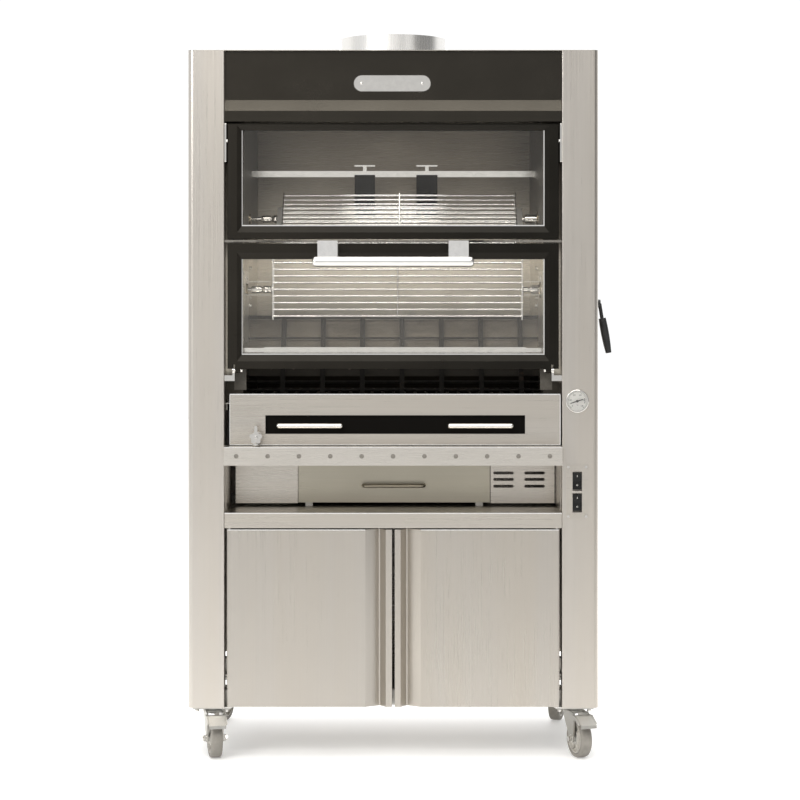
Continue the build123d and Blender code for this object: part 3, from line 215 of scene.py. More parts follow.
def clear_glass(name, tint, smear=0.05, mirror=1.15):
    """thin sheet glass: see-through, with a mirror film that grows at grazing angles and a little haze"""
    t = NT(name)
    tr = t.n("ShaderNodeBsdfTransparent")
    tr.inputs["Color"].default_value = (*tint, 1)
    gl = t.n("ShaderNodeBsdfGlossy")
    gl.inputs["Color"].default_value = (1, 0.985, 0.96, 1)
    gl.inputs["Roughness"].default_value = 0.03
    df = t.n("ShaderNodeBsdfDiffuse")
    df.inputs["Color"].default_value = (0.82, 0.80, 0.76, 1)
    fr = t.n("ShaderNodeFresnel")
    fr.inputs["IOR"].default_value = 1.45
    haze = t.noise((3.1, 3.1, 2.0), detail=5, rough=0.65, loc=(2, 8, 5))
    wipe = t.noise((40, 40, 3.0), detail=3, rough=0.6, loc=(1, 1, 1), distortion=0.4)
    hz = t.math("MULTIPLY", t.remap(haze, 0.40, 0.75, 0.15, 1.0), t.remap(wipe, 0.3, 0.7, 0.5, 1.0))
    m1 = t.n("ShaderNodeMixShader")
    t.link(t.math("MULTIPLY", fr.outputs[0], mirror), m1.inputs[0])
    t.link(tr.outputs[0], m1.inputs[1])
    t.link(gl.outputs[0], m1.inputs[2])
    m2 = t.n("ShaderNodeMixShader")
    t.link(t.math("MULTIPLY", hz, smear), m2.inputs[0])
    t.link(m1.outputs[0], m2.inputs[1])
    t.link(df.outputs[0], m2.inputs[2])
    t.link(m2.outputs[0], t.out.inputs["Surface"])
    return t.m


def chamber(name):
    """heat-toned sheet: straw tint, a painted shade darkening towards the ceiling and on the upper side walls, soot low
    down behind the fire guard
    """
    t = NT(name)
    tc = t.n("ShaderNodeTexCoord")
    sp = t.n("ShaderNodeSeparateXYZ")
    t.link(tc.outputs["Object"], sp.inputs[0])
    fine = t.noise((9, 1400, 1400), detail=2, rough=0.6)
    broad = t.noise((3.5, 3.5, 3.5), detail=5, rough=0.6, loc=(4, 4, 2))
    drip = t.noise((26, 26, 2.0), detail=4, rough=0.6, loc=(1, 5, 3))
    g = t.remap(fine, 0.3, 0.7, 0, 1)
    col = t.mix(g, (0.60, 0.555, 0.475), (0.66, 0.615, 0.53))
    col = t.mix(t.remap(broad, 0.40, 0.72, 0, 0.45), col, (0.44, 0.385, 0.30))
    # painted shade: the sheet darkens with height towards the ceiling
    up = t.math("ADD", sp.outputs["Z"], t.math("MULTIPLY", broad, 0.10))
    col = t.mix(t.remap(up, 1.36, 1.62, 0.0, 0.85), col, (0.105, 0.090, 0.072))
    # painted shade: the side walls darken further above about 1.36 m
    wall = t.math("MULTIPLY", t.remap(t.math("ABSOLUTE", sp.outputs["X"]), 0.3960, 0.3968, 0.0, 1.0),
                  t.remap(up, 1.36, 1.43, 0.0, 0.62))
    col = t.mix(wall, col, (0.070, 0.061, 0.050))
    low = t.math("ADD", sp.outputs["Z"], t.math("MULTIPLY", drip, 0.06))
    a = t.remap(low, 1.20, 1.15, 0.0, 1.0)
    b = t.remap(sp.outputs["Y"], F + 0.235, F + 0.275, 0.0, 1.0)
    soot = t.math("MULTIPLY", a, b)
    lip = t.remap(low, 1.045, 1.015, 0.0, 1.0)      # black fringe of the front flanges beside the fire
    lip = t.math("MULTIPLY", lip, t.remap(sp.outputs["Z"], 0.934, 0.936, 0.0, 0.93))
    soot = t.math("MAXIMUM", soot, lip)
    col = t.mix(soot, col, (0.022, 0.019, 0.015))
    r = t.math("ADD", t.remap(fine, 0.3, 0.7, 0.24, 0.36), t.math("MULTIPLY", t.math("MAXIMUM", soot, wall), 0.40))
    t.principled(col, r, 1.0, t.bump(fine, 0.06, 0.0004))
    return t.m


def guard(name):
    """burnt-black bars and rods in front of a scaled apron sheet with a ragged soot edge"""
    t = NT(name)
    tc = t.n("ShaderNodeTexCoord")
    sp = t.n("ShaderNodeSeparateXYZ")
    t.link(tc.outputs["Object"], sp.inputs[0])
    a = t.noise((55, 55, 55), detail=6, rough=0.7)
    b = t.noise((330, 330, 330), detail=4, rough=0.7, loc=(1, 2, 3))
    c = t.noise((9, 9, 30), detail=5, rough=0.65, loc=(6, 6, 1))
    rag = t.noise((34, 34, 34), detail=5, rough=0.7, loc=(3, 1, 8))
    depth = t.math("SUBTRACT", t.math("MULTIPLY", t.math("SUBTRACT", sp.outputs["Y"], F + 0.150), 0.8963),
                   t.math("MULTIPLY", t.math("SUBTRACT", sp.outputs["Z"], 0.950), 0.4437))
    bars = t.mix(t.remap(a, 0.4, 0.7, 0, 1), (0.0065, 0.0058, 0.0050), (0.015, 0.013, 0.011))
    bars = t.mix(t.remap(c, 0.62, 0.80, 0, 0.30), bars, (0.10, 0.055, 0.03))
    high = t.remap(sp.outputs["Z"], 1.040, 1.055, 0.0, 1.0)     # clear of the embers: bars only browned; the rods here get a light colour, a painted highlight
    bars = t.mix(high, bars, (0.050, 0.043, 0.034))
    # painted highlight: the rods above the embers are coloured light
    rod_highlight = t.math("MULTIPLY", t.math("MULTIPLY", t.remap(depth, 0.0047, 0.0050, 0.0, 1.0), t.remap(depth, 0.0112, 0.0110, 0.0, 1.0)), high)
    bars = t.mix(rod_highlight, bars, (0.46, 0.42, 0.36))
    sheet = t.mix(t.remap(b, 0.3, 0.7, 0, 1), (0.230, 0.200, 0.158), (0.310, 0.275, 0.222))
    sheet = t.mix(t.remap(c, 0.45, 0.70, 0, 0.6), sheet, (0.110, 0.088, 0.066))
    edge = t.math("ADD", sp.outputs["Z"], t.math("MULTIPLY", t.math("SUBTRACT", rag, 0.5), 0.055))
    sheet = t.mix(t.remap(edge, 1.033, 1.022, 0.0, 0.94), sheet, (0.0085, 0.0075, 0.0062))
    col = t.mix(t.remap(depth, 0.0112, 0.0124, 0.0, 1.0), bars, sheet)
    cheek = t.math("MULTIPLY", t.remap(sp.outputs["Y"], F + 0.0440, F + 0.0425, 0.0, 1.0),
                   t.remap(sp.outputs["Z"], 1.040, 1.030, 0.0, 1.0))
    plain = t.mix(t.remap(a, 0.35, 0.7, 0, 1), (0.085, 0.078, 0.066), (0.125, 0.115, 0.100))
    col = t.mix(cheek, col, plain)
    p = t.principled(col, t.remap(b, 0.3, 0.7, 0.55, 0.80), 0.0, t.bump(b, 0.30, 0.0010))
    p.inputs["Specular IOR Level"].default_value = 0.16
    return t.m


def drip_rail(name):
    """brushed channel with a shaded strip close behind its round holes"""
    t = NT(name)
    tc = t.n("ShaderNodeTexCoord")
    sp = t.n("ShaderNodeSeparateXYZ")
    t.link(tc.outputs["Object"], sp.inputs[0])
    fine = t.noise((9, 1500, 1500), detail=2, rough=0.6)
    broad = t.noise((2.5, 9, 9), detail=4, rough=0.5, loc=(3, 2, 6))
    col = t.mix(t.remap(fine, 0.3, 0.7, 0, 1), (0.625, 0.590, 0.538), (0.665, 0.630, 0.580))
    col = t.mix(t.remap(broad, 0.42, 0.70, 0, 0.25), col, (0.56, 0.525, 0.475))
    ys = t.math("MULTIPLY", t.remap(sp.outputs["Y"], F - 0.0582, F - 0.0576, 0.0, 1.0),
                t.remap(sp.outputs["Y"], F - 0.0530, F - 0.0536, 0.0, 1.0))
    zs = t.math("MULTIPLY", t.remap(sp.outputs["Z"], 0.7800, 0.7810, 0.0, 1.0), t.remap(sp.outputs["Z"], 0.8150, 0.8140, 0.0, 1.0))
    col = t.mix(t.math("MULTIPLY", ys, zs), col, (0.340, 0.317, 0.280))
    t.principled(col, t.remap(fine, 0.3, 0.7, 0.24, 0.34), 1.0, t.bump(fine, 0.05, 0.0004))
    return t.m


def inner_rails(name):
    """bright bars inside; the bar between the doors is a shade darker with smoke lying unevenly along it"""
    t = NT(name)
    tc = t.n("ShaderNodeTexCoord")
    sp = t.n("ShaderNodeSeparateXYZ")
    t.link(tc.outputs["Object"], sp.inputs[0])
    a = t.noise((60, 60, 60), detail=4, rough=0.6)
    b = t.noise((40, 1200, 1200), detail=2, loc=(2, 2, 2))
    sm = t.noise((5.5, 30, 30), detail=3, rough=0.5, loc=(1, 7, 2))
    col = t.mix(t.remap(a, 0.35, 0.7, 0, 1), (0.93, 0.92, 0.895), (0.86, 0.85, 0.82))
    mid = t.math("MULTIPLY", t.remap(sp.outputs["Z"], 1.400, 1.395, 0.0, 1.0),
                 t.math("MULTIPLY", t.remap(sp.outputs["Z"], 1.340, 1.345, 0.0, 1.0),
                        t.remap(sp.outputs["Y"], F + 0.048, F + 0.045, 0.0, 1.0)))
    dark = t.mix(t.remap(sm, 0.46, 0.56, 0, 1), (0.30, 0.28, 0.25), (0.055, 0.050, 0.044))
    col = t.mix(mid, col, dark)
    t.principled(col, t.math("ADD", t.remap(a, 0.3, 0.7, 0.15, 0.23), t.math("MULTIPLY", mid, 0.08)), 1.0, t.bump(b, 0.05, 0.0003))
    return t.m


STEEL = (0.600, 0.566, 0.522)
M = {
    "post": steel("post_steel", STEEL, "z", (0.25, 0.37), 0.035, 0.035),
    "panel": steel("panel_steel", (0.500, 0.468, 0.425), "z", (0.24, 0.36), 0.03, 0.03),
    "panel_x": steel("crosswise_steel", (0.560, 0.524, 0.474), "x", (0.22, 0.34), 0.05, 0.045),
    "roof": steel("roof_steel", (0.52, 0.49, 0.44), "x", (0.30, 0.44), 0.05, 0.08),
    "chamber": chamber("chamber_steel"),
    "shiny": polished("polished_steel", (0.74, 0.72, 0.685)),
    "wire": polished("polished_wire", (0.93, 0.92, 0.90), (0.16, 0.26)),
    "handle": polished("bright_handle", (0.90, 0.885, 0.86), (0.10, 0.16)),
    "rail": polished("bright_rail", (0.93, 0.92, 0.895), (0.14, 0.22)),
    # right casing: the left casing's steel with a darker base colour, a painted shade
    "post_r": steel("right_post_steel_painted_shade", (0.560, 0.526, 0.482), "z", (0.25, 0.37), 0.035, 0.035),
    "ash": steel("ash_front_steel", (0.435, 0.405, 0.335), "x", (0.24, 0.36), 0.05, 0.06),
    "flue": steel("flue_steel", (0.90, 0.89, 0.87), "z", (0.20, 0.30), 0.03, 0.03),
    # black and fascia: the colour after the coat weight is a painted shade, the darker right-hand end
    "black": paint("black_enamel", (0.0120, 0.0104, 0.0084), (0.26, 0.40), 0.20, 0.06, 0.04, (0.05, 0.045, 0.036), 0.0,
                   (0.0020, 0.0018, 0.0014), (1.0, 0.93, 0.80)),
    "fascia": paint("black_fascia", (0.0080, 0.0066, 0.0048), (0.18, 0.27), 0.46, 0.05, 0.05, (0.06, 0.052, 0.042), 0.0,
                    (0.0055, 0.0046, 0.0036), (1.0, 0.92, 0.78)),
    "inset": paint("black_inset", (0.0025, 0.0022, 0.0020), (0.38, 0.50), 0.07, 0.05, 0.03, (0.02, 0.018, 0.015), 0.0,
                   None, (1.0, 0.93, 0.82)),
    "fire": cast("sooty_iron", (0.022, 0.019, 0.016)),
    "guard": guard("burnt_guard"),
    "rails": inner_rails("inner_bars"),
    "liner": steel("liner_steel", (0.84, 0.815, 0.765), "z", (0.24, 0.34), 0.04, 0.06),
    "satin": polished("satin_lips", (0.95, 0.94, 0.915), (0.42, 0.55)),
    "perf": drip_rail("drip_rail_steel"),
    # rounded sheet bends given a brighter, shinier steel than their sheets: real bends, with a painted highlight in the
    # colour
    "edge": polished("rolled_edge", (0.97, 0.96, 0.94), (0.20, 0.30)),
    # dark strip material: a painted shadow standing for the shade in a gap
    "gap": plastic("dark_gap_painted_shadow", (0.006, 0.0055, 0.005), (0.6, 0.75), 500, 0.1, 0.15),
    "plate": paint("black_hot_plate", (0.0060, 0.0055, 0.0048), (0.50, 0.65), 0.12, 0.2, 0.05, (0.05, 0.04, 0.03)),
    "zinc": steel("zinc_plate", (0.50, 0.49, 0.46), "y", (0.30, 0.46), 0.07, 0.12, 0.15),
    "brass": polished("turned_bronze", (0.42, 0.365, 0.27), (0.22, 0.32)),
    "motor": paint("motor_grey", (0.22, 0.22, 0.22), (0.4, 0.55), 0.4, 0.3, 0.2),
    "dial": paint("dial_white", (0.96, 0.95, 0.925), (0.35, 0.45), 0.4, 0.02, 0.03, (0.7, 0.68, 0.62)),
    "ink": paint("dial_ink", (0.03, 0.028, 0.026), (0.45, 0.55), 0.3, 0.02, 0.2, (0.12, 0.11, 0.10)),
    "mark": paint("rocker_mark", (0.55, 0.54, 0.50), (0.4, 0.5), 0.3, 0.02, 0.2, (0.4, 0.38, 0.34)),
    "grip": plastic("black_grip", (0.012, 0.012, 0.012), (0.35, 0.5), 1200, 0.2),
    "rocker": plastic("rocker_black", (0.0060, 0.0058, 0.0055), (0.20, 0.30), 600, 0.04, 0.22),
    "gland": plastic("gland_black", (0.014, 0.014, 0.014)),
    "tyre": plastic("grey_tyre", (0.235, 0.220, 0.195), (0.5, 0.7), 700, 0.25, 0.3),
    "core": plastic("wheel_core", (0.42, 0.40, 0.36), (0.35, 0.5), 500, 0.1),
    "seal": plastic("door_seal", (0.010, 0.010, 0.010), (0.6, 0.75), 500, 0.2, 0.2),
    # both doors hold the same glass: the lower one gets stronger reflection and haze, the upper one weaker, a painted
    # reflection set per door
    "glass": clear_glass("door_glass", (0.985, 0.98, 0.968), 0.055),
    "glass_up": clear_glass("upper_door_glass_weaker_painted_reflection", (0.985, 0.98, 0.968), 0.018, 0.62),
    "lens": clear_glass("dial_glass", (1.0, 1.0, 0.995), 0.004),
}

ASSIGN = {
    "post": ["left_casing"],
    "post_r": ["right_casing"],
    "panel": ["left_cupboard_door", "right_cupboard_door", "rear_panel"],
    "ash": ["ash_drawer"],
    "rails": ["chamber_rails"],
    "guard": ["fire_guard"],
    "perf": ["perforated_rail"],
    "flue": ["flue_spigot"],
    "panel_x": ["shelf", "niche_panels", "drip_drawer_front",
                "switch_plate", "cupboard_liner"],
    "roof": ["roof_panel"],
    "chamber": ["chamber_side_walls", "chamber_back_and_ceiling", "ash_chute", "drip_pan"],
    "shiny": ["badge_plate", "door_hinges", "panel_fasteners", "door_handle", "drip_drawer_handles", "tap_body",
              "tap_lever", "lower_basket_journals", "upper_basket_journals", "thermometer_body"],
    "wire": ["lower_basket", "upper_basket"],
    "black": ["upper_door_frame", "lower_door_frame"],
    "fascia": ["fascia"],
    "inset": ["drip_drawer_inset", "thermometer_needle"],
    "fire": ["fire_grate"],
    "plate": ["deflector_plates"],
    "zinc": ["frame", "drawer_runners", "castor_plates", "front_left_fork", "front_right_fork", "rear_left_fork",
             "rear_right_fork", "left_brake_pedal", "right_brake_pedal"],
    "brass": ["shaft_bushes"],
    "motor": ["basket_gearmotors"],
    
    "grip": ["air_lever"],
    "rocker": ["upper_rocker", "lower_rocker"],
    "gland": ["cable_gland"],
    "tyre": ["front_left_wheel", "front_right_wheel", "rear_left_wheel", "rear_right_wheel"],
    "glass": ["lower_door_glass"],
    "glass_up": ["upper_door_glass"],
}
for key, names in ASSIGN.items():
    for nm in names:
        o = NODES[nm]
        if not o.data.materials:
            o.data.materials.append(M[key])
        for i in range(len(o.material_slots)):
            o.material_slots[i].material = M[key]
missing = sorted(set(NODES) - {n for v in ASSIGN.values() for n in v})
if missing:
    print("NO MATERIAL", missing)

# ------------------------------------------------------------------ camera, floor, light
cam_data = bpy.data.cameras.new("camera")
cam = bpy.data.objects.new("camera", cam_data)
S.collection.objects.link(cam)
cam.location = (0.018, F - 5.5, 1.191)
cam.rotation_euler = (radians(90), 0, 0)
cam_data.sensor_width = 36
cam_data.lens = 36 * 5.5 / 2.104
cam_data.shift_y = -95 / 800
cam_data.clip_end = 60
cam_data.dof.use_dof = False
S.camera = cam

S.view_settings.view_transform = "Standard"
S.view_settings.look = "None"
S.view_settings.exposure = 0.0

world = bpy.data.worlds.new("studio")
S.world = world
world.use_nodes = True
wt = world.node_tree
wt.nodes.clear()
wo = wt.nodes.new("ShaderNodeOutputWorld")
bg = wt.nodes.new("ShaderNodeBackground")
tc = wt.nodes.new("ShaderNodeTexCoord")
sp = wt.nodes.new("ShaderNodeSeparateXYZ")
def wnode(kind, **kw):
    nd = wt.nodes.new(kind)
    for k, v in kw.items():
        setattr(nd, k, v)
    return nd


def wramp(sock, lo, hi, stops):
    mr = wnode("ShaderNodeMapRange")
    mr.inputs["From Min"].default_value = lo
    mr.inputs["From Max"].default_value = hi
    wt.links.new(sock, mr.inputs["Value"])
    rp = wnode("ShaderNodeValToRGB")
    els = rp.color_ramp.elements
    while len(els) < len(stops):
        els.new(0.5)
    for e, (p, v) in zip(els, stops):
        e.position = (p - lo) / (hi - lo)
        e.color = (v, v, v, 1) if isinstance(v, (int, float)) else (*v, 1)
    wt.links.new(mr.outputs["Result"], rp.inputs["Fac"])
    return rp.outputs["Color"]


def wmix(kind, fac, c1, c2):
    mx = wnode("ShaderNodeMix", data_type="RGBA", blend_type=kind)
    for i, v in ((0, fac), (6, c1), (7, c2)):
        if isinstance(v, (int, float)):
            mx.inputs[i].default_value = v
        elif isinstance(v, tuple):
            mx.inputs[i].default_value = (*v, 1)
        else:
            wt.links.new(v, mx.inputs[i])
    return mx.outputs[2]


wt.links.new(tc.outputs["Generated"], sp.inputs[0])
side = wramp(sp.outputs["X"], -1, 1, ((-1, 0.78), (-0.5, 0.84), (-0.12, 0.80), (0.15, 0.68), (0.42, 0.46), (0.7, 0.24), (1, 0.24)))
lift = wramp(sp.outputs["Z"], -1, 1, ((-1, 1.0), (-0.05, 0.90), (0.05, 0.92), (0.22, 1.0), (0.5, 1.0), (1, 1.0)))
ahead = wmix("MULTIPLY", 1.0, side, lift)
behind = wramp(sp.outputs["Y"], -1, 1, ((-1, 0.0), (0.05, 0.0), (0.30, 1.0), (1, 1.0)))
wt.links.new(wmix("MIX", behind, ahead, (1.0, 1.0, 1.0)), bg.inputs["Color"])
bg.inputs["Strength"].default_value = 1.06
wt.links.new(bg.outputs[0], wo.inputs["Surface"])


def area(name, loc, target, sx, sy, power, col=(1, 1, 1)):
    ld = bpy.data.lights.new(name, "AREA")
    ld.shape = "RECTANGLE"
    ld.size, ld.size_y = sx, sy
    ld.energy = power
    ld.color = col
    o = bpy.data.objects.new(name, ld)
    S.collection.objects.link(o)
    o.location = loc
    d = Vector(target) - Vector(loc)
    o.rotation_euler = d.to_track_quat("-Z", "Y").to_euler()
    return o


area("key", (-3.2, -4.6, 3.6), (0, 0, 1.0), 2.4, 2.4, 110, (1, 0.99, 0.97))
area("fill", (3.4, -5.0, 2.2), (0, 0, 1.0), 2.0, 2.6, 8, (1, 0.98, 0.95))
area("oven_low", (0.0, F + 0.040, 1.340), (0.0, F + 0.30, 1.20), 0.74, 0.016, 0.55, (1, 0.97, 0.92))
area("oven_high", (0.0, F + 0.050, 1.655), (0.0, F + 0.30, 1.38), 0.74, 0.020, 0.13, (1, 0.97, 0.92))
area("strip", (0, -3.55, 4.22), (0, F, 1.72), 3.2, 0.9, 62, (1, 0.97, 0.92))
area("top", (0, -0.6, 4.6), (0, 0.1, 0), 3.5, 2.5, 90, (1, 1, 1))
area("back", (0, 4.2, 3.2), (0, 0, 0.8), 4.0, 2.5, 120, (1, 1, 1))

bm = bmesh.new()
bmesh.ops.create_grid(bm, x_segments=24, y_segments=24, size=16)
me = bpy.data.meshes.new("floor")
bm.to_mesh(me); bm.free()
floor = bpy.data.objects.new("floor", me)
S.collection.objects.link(floor)
tfl = NT("pale_floor")
fz = tfl.noise((1.5, 1.5, 1.5), detail=4)
ftc = tfl.n("ShaderNodeTexCoord")
fsp = tfl.n("ShaderNodeSeparateXYZ")
tfl.link(ftc.outputs["Object"], fsp.inputs[0])
fcol = tfl.mix(tfl.remap(fz, 0.3, 0.7, 0, 1), (0.90, 0.897, 0.89), (0.93, 0.927, 0.92))
fcol = tfl.mix(tfl.remap(fsp.outputs["Y"], -0.9, -1.9, 0, 1), fcol, (0.66, 0.655, 0.645))
fp = tfl.principled(fcol, 0.6, 0.0)
fp.inputs["Emission Color"].default_value = (1, 1, 1, 1)
tfl.link(tfl.remap(fsp.outputs["Y"], -0.9, 1.2, 0.16, 0.40), fp.inputs["Emission Strength"])
floor.data.materials.append(tfl.m)

# ------------------------------------------------------------------ mesh helpers, all in millimetres
def T(loc=(0, 0, 0), x=(1, 0, 0), z=(0, 0, 1)):
    """placing matrix from a point and the directions of the local x and z"""
    z = Vector(z).normalized()
    x = Vector(x)
    x = (x - z * x.dot(z)).normalized()
    m = Matrix((x, z.cross(x), z)).transposed().to_4x4()
    m.translation = Vector(loc)
    return m


def merge(bm, part, m):
    part.transform(m)
    me = bpy.data.meshes.new("tmp")
    part.to_mesh(me)
    part.free()
    bm.from_mesh(me)
    bpy.data.meshes.remove(me)


def soften(part, r, seg=2, angle=25):
    if r > 0:
        es = [e for e in part.edges if len(e.link_faces) == 2 and e.calc_face_angle(0) > radians(angle)]
        bmesh.ops.bevel(part, geom=es, offset=r, segments=seg, affect="EDGES", profile=0.5, clamp_overlap=True)


def add_prism(bm, m, pts, h0, h1, r=0.0, seg=2):
    """a flat outline in local x, y drawn from h0 to h1 along local z, edges rounded by r"""
    p = bmesh.new()
    low = [p.verts.new((a, b, h0)) for a, b in pts]
    top = [p.verts.new((a, b, h1)) for a, b in pts]
    p.faces.new(low[::-1])
    p.faces.new(top)
    n = len(pts)
    for i in range(n):
        p.faces.new((low[i], low[(i + 1) % n], top[(i + 1) % n], top[i]))
    soften(p, r, seg)
    merge(bm, p, m)


def add_box(bm, x0, x1, y0, y1, z0, z1, r=0.6, m=None, seg=2):
    add_prism(bm, m or Matrix.Identity(4), [(x0, y0), (x1, y0), (x1, y1), (x0, y1)], z0, z1, r, seg)


def add_lathe(bm, m, prof, n=48, r=0.0):
    """closed outline of (radius, height) turned about local z"""
    p = bmesh.new()
    rings = []
    for k in range(n):
        a = 2 * pi * k / n
        rings.append([p.verts.new((rr * cos(a), rr * sin(a), h)) for rr, h in prof])
    q = len(prof)
    for k in range(n):
        A, B = rings[k], rings[(k + 1) % n]
        for i in range(q):
            j = (i + 1) % q
            if prof[i][0] < 1e-6 and prof[j][0] < 1e-6:
                continue
            p.faces.new((A[i], B[i], B[j], A[j]))
    bmesh.ops.remove_doubles(p, verts=p.verts, dist=1e-4)
    bmesh.ops.dissolve_degenerate(p, edges=p.edges, dist=1e-5)
    if r:
        soften(p, r)
    merge(bm, p, m)


def add_tube(bm, pts, rad, n=14, caps=True):
    """round bar along a list of points"""
    p = bmesh.new()
    pts = [Vector(v) for v in pts]
    d0 = (pts[1] - pts[0]).normalized()
    u = d0.orthogonal().normalized()
    rings = []
    for i, c in enumerate(pts):
        if i == 0:
            d = d0
        elif i == len(pts) - 1:
            d = (pts[-1] - pts[-2]).normalized()
        else:
            d = ((pts[i] - pts[i - 1]).normalized() + (pts[i + 1] - pts[i]).normalized()).normalized()
        u = (u - d * u.dot(d)).normalized()
        v = d.cross(u)
        rings.append([p.verts.new(c + (u * cos(2 * pi * k / n) + v * sin(2 * pi * k / n)) * rad) for k in range(n)])
    for A, B in zip(rings, rings[1:]):
        for k in range(n):
            p.faces.new((A[k], A[(k + 1) % n], B[(k + 1) % n], B[k]))
    if caps:
        p.faces.new(rings[0][::-1])
        p.faces.new(rings[-1])
    merge(bm, p, Matrix.Identity(4))


def circle(r, n=24, c=(0, 0), a0=0.0):
    return [(c[0] + r * cos(a0 + 2 * pi * k / n), c[1] + r * sin(a0 + 2 * pi * k / n)) for k in range(n)]


def piece(name, bm, mats, body, stands_for=(), sharp=32):
    bmesh.ops.recalc_face_normals(bm, faces=bm.faces)
    bmesh.ops.scale(bm, vec=(0.001, 0.001, 0.001), verts=bm.verts)
    for f in bm.faces:
        f.smooth = True
    for e in bm.edges:
        if len(e.link_faces) != 2 or e.calc_face_angle(0) > radians(sharp):
            e.smooth = False
    me = bpy.data.meshes.new(name)
    bm.to_mesh(me)
    bm.free()
    for mt in (mats if isinstance(mats, (list, tuple)) else [mats]):
        me.materials.append(mt)
    o = bpy.data.objects.new(name, me)
    S.collection.objects.link(o)
    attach(o, body)
    if stands_for:
        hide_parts(*stands_for)
    return o


def hexhead(bm, m, af, h, washer=0.0):
    """hexagon head with chamfered corners on an optional washer, standing along local z"""
    if washer:
        add_lathe(bm, m, [(0, 0), (washer, 0), (washer, 0.9), (0, 0.9)], 32, 0.2)
    base = 0.9 if washer else 0.0
    add_prism(bm, m, circle(af / math.sqrt(3), 6), base, base + h, 0.35, 2)
    add_lathe(bm, m, [(0, base + h - 0.2), (af * 0.42, base + h - 0.2), (af * 0.36, base + h + 0.25), (0, base + h + 0.25)], 28)


# ------------------------------------------------------------------ castors
TRAIL, WR = 37.0, 50.0
CASTORS = (("front_left", -478.0, 48.0, 12.5), ("front_right", 478.0, 48.0, 20.0),
           ("rear_left", -478.0, 545.0, -16.0), ("rear_right", 478.0, 545.0, -16.0))


def castor_matrix(cx, cd, yaw):
    a = radians(yaw)
    return T((cx, F * 1000 + cd, 0), (cos(a), sin(a), 0), (0, 0, 1))


for nm, cx, cd, yaw in CASTORS:
    cm = castor_matrix(cx, cd, yaw)
    # wheel frame: local z along the axle
    wm = cm @ T((0, -TRAIL, WR), (0, 1, 0), (1, 0, 0))
    ty = bmesh.new()
    add_lathe(ty, wm, [(38.6, -12.5), (40.2, -14.6), (43.5, -15.8), (46.6, -15.2), (48.9, -13.2), (49.85, -9.5), (50, -4),
                       (50, 4), (49.85, 9.5), (48.9, 13.2), (46.6, 15.2), (43.5, 15.8), (40.2, 14.6), (38.6, 12.5)], 96)
    o = piece(nm + "_tyre", ty, M["tyre"], nm + "_roller", (nm + "_wheel",), 40)
    co = bmesh.new()
    add_lathe(co, wm, [(15.5, -13), (18, -12.2), (20, -7.5), (31, -6.0), (34.5, -8.5), (35.8, -14.2), (38.5, -14.4), (38.5, 14.4),
                       (35.8, 14.2), (34.5, 8.5), (31, 6.0), (20, 7.5), (18, 12.2), (15.5, 13)], 72)
    for k in range(6):      # ribs in the dished sides
        a = pi / 3 * k
        rm = wm @ Matrix.Rotation(a, 4, "Z")
        add_box(co, 17, 35.2, -1.4, 1.4, -11.5, 11.5, 0.5, rm)
    piece(nm + "_core", co, M["core"], nm + "_roller", (), 40)
    hb = bmesh.new()
    for s in (-1, 1):       # pressed dust caps over the roller bearing
        add_lathe(hb, wm @ Matrix.Scale(s, 4, (0, 0, 1)), [(5.3, 12.2), (15.2, 12.2), (15.2, 14.2), (13.4, 15.4), (9, 15.9), (8.4, 17.4), (5.3, 17.4)], 48)
    piece(nm + "_bearing_caps", hb, M["zinc"], nm + "_roller")
    # on the fork: axle bolt head, nut and washers; pressed ridge of the ball race
    fb = bmesh.new()
    hexhead(fb, wm @ T((0, 0, 28.2)), 13, 4.6)
    hexhead(fb, wm @ T((0, 0, -28.2), (1, 0, 0), (0, 0, -1)), 13, 4.2)
    add_lathe(fb, wm @ T((0, 0, 22.6)), [(5, 0), (10.5, 0), (10.5, 1.6), (5, 1.6)], 36, 0.3)
    add_lathe(fb, wm @ T((0, 0, -24.2)), [(5, 0), (10.5, 0), (10.5, 1.6), (5, 1.6)], 36, 0.3)
    piece(nm + "_axle_ends", fb, M["shiny"], nm + "_swivel")
    rb = bmesh.new()
    add_lathe(rb, cm @ T((0, 0, 113.2)), [(19, 0.3), (24.6, 0.3), (26.1, 1.6), (26.1, 5.2), (24.4, 7.0), (19, 7.0)], 60)
    piece(nm + "_race_ring", rb, M["zinc"], nm + "_swivel")
    # bolts of the top plate
    pb = bmesh.new()
    for ax in (-39, 39):
        for ay in (-32, 32):
            hexhead(pb, T((cx + ax, F * 1000 + cd + ay, 122.8), (1, 0, 0), (0, 0, -1)), 9.5, 3.6)
    piece(nm + "_plate_bolts", pb, M["shiny"], "cabinet")

# ------------------------------------------------------------------ thin plates with holes, screws
def add_holed(bm, m, outer, holes, h0, h1, r=0.0):
    """flat plate with holes, drawn from h0 to h1"""
    p = bmesh.new()
    for loop in [outer] + list(holes):
        vs = [p.verts.new((a, b, h0)) for a, b in loop]
        for i in range(len(vs)):
            p.edges.new((vs[i], vs[(i + 1) % len(vs)]))
    bmesh.ops.triangle_fill(p, use_beauty=True, use_dissolve=False, edges=p.edges[:])
    fs = p.faces[:]
    ex = bmesh.ops.extrude_face_region(p, geom=fs)
    for v in ex["geom"]:
        if isinstance(v, bmesh.types.BMVert):
            v.co.z = h1
    if r:
        soften(p, r, 2, 60)
    merge(bm, p, m)


def cross(w, l):
    return [(-w, -l), (w, -l), (w, -w), (l, -w), (l, w), (w, w), (w, l), (-w, l), (-w, w), (-l, w), (-l, -w), (-w, -w)]


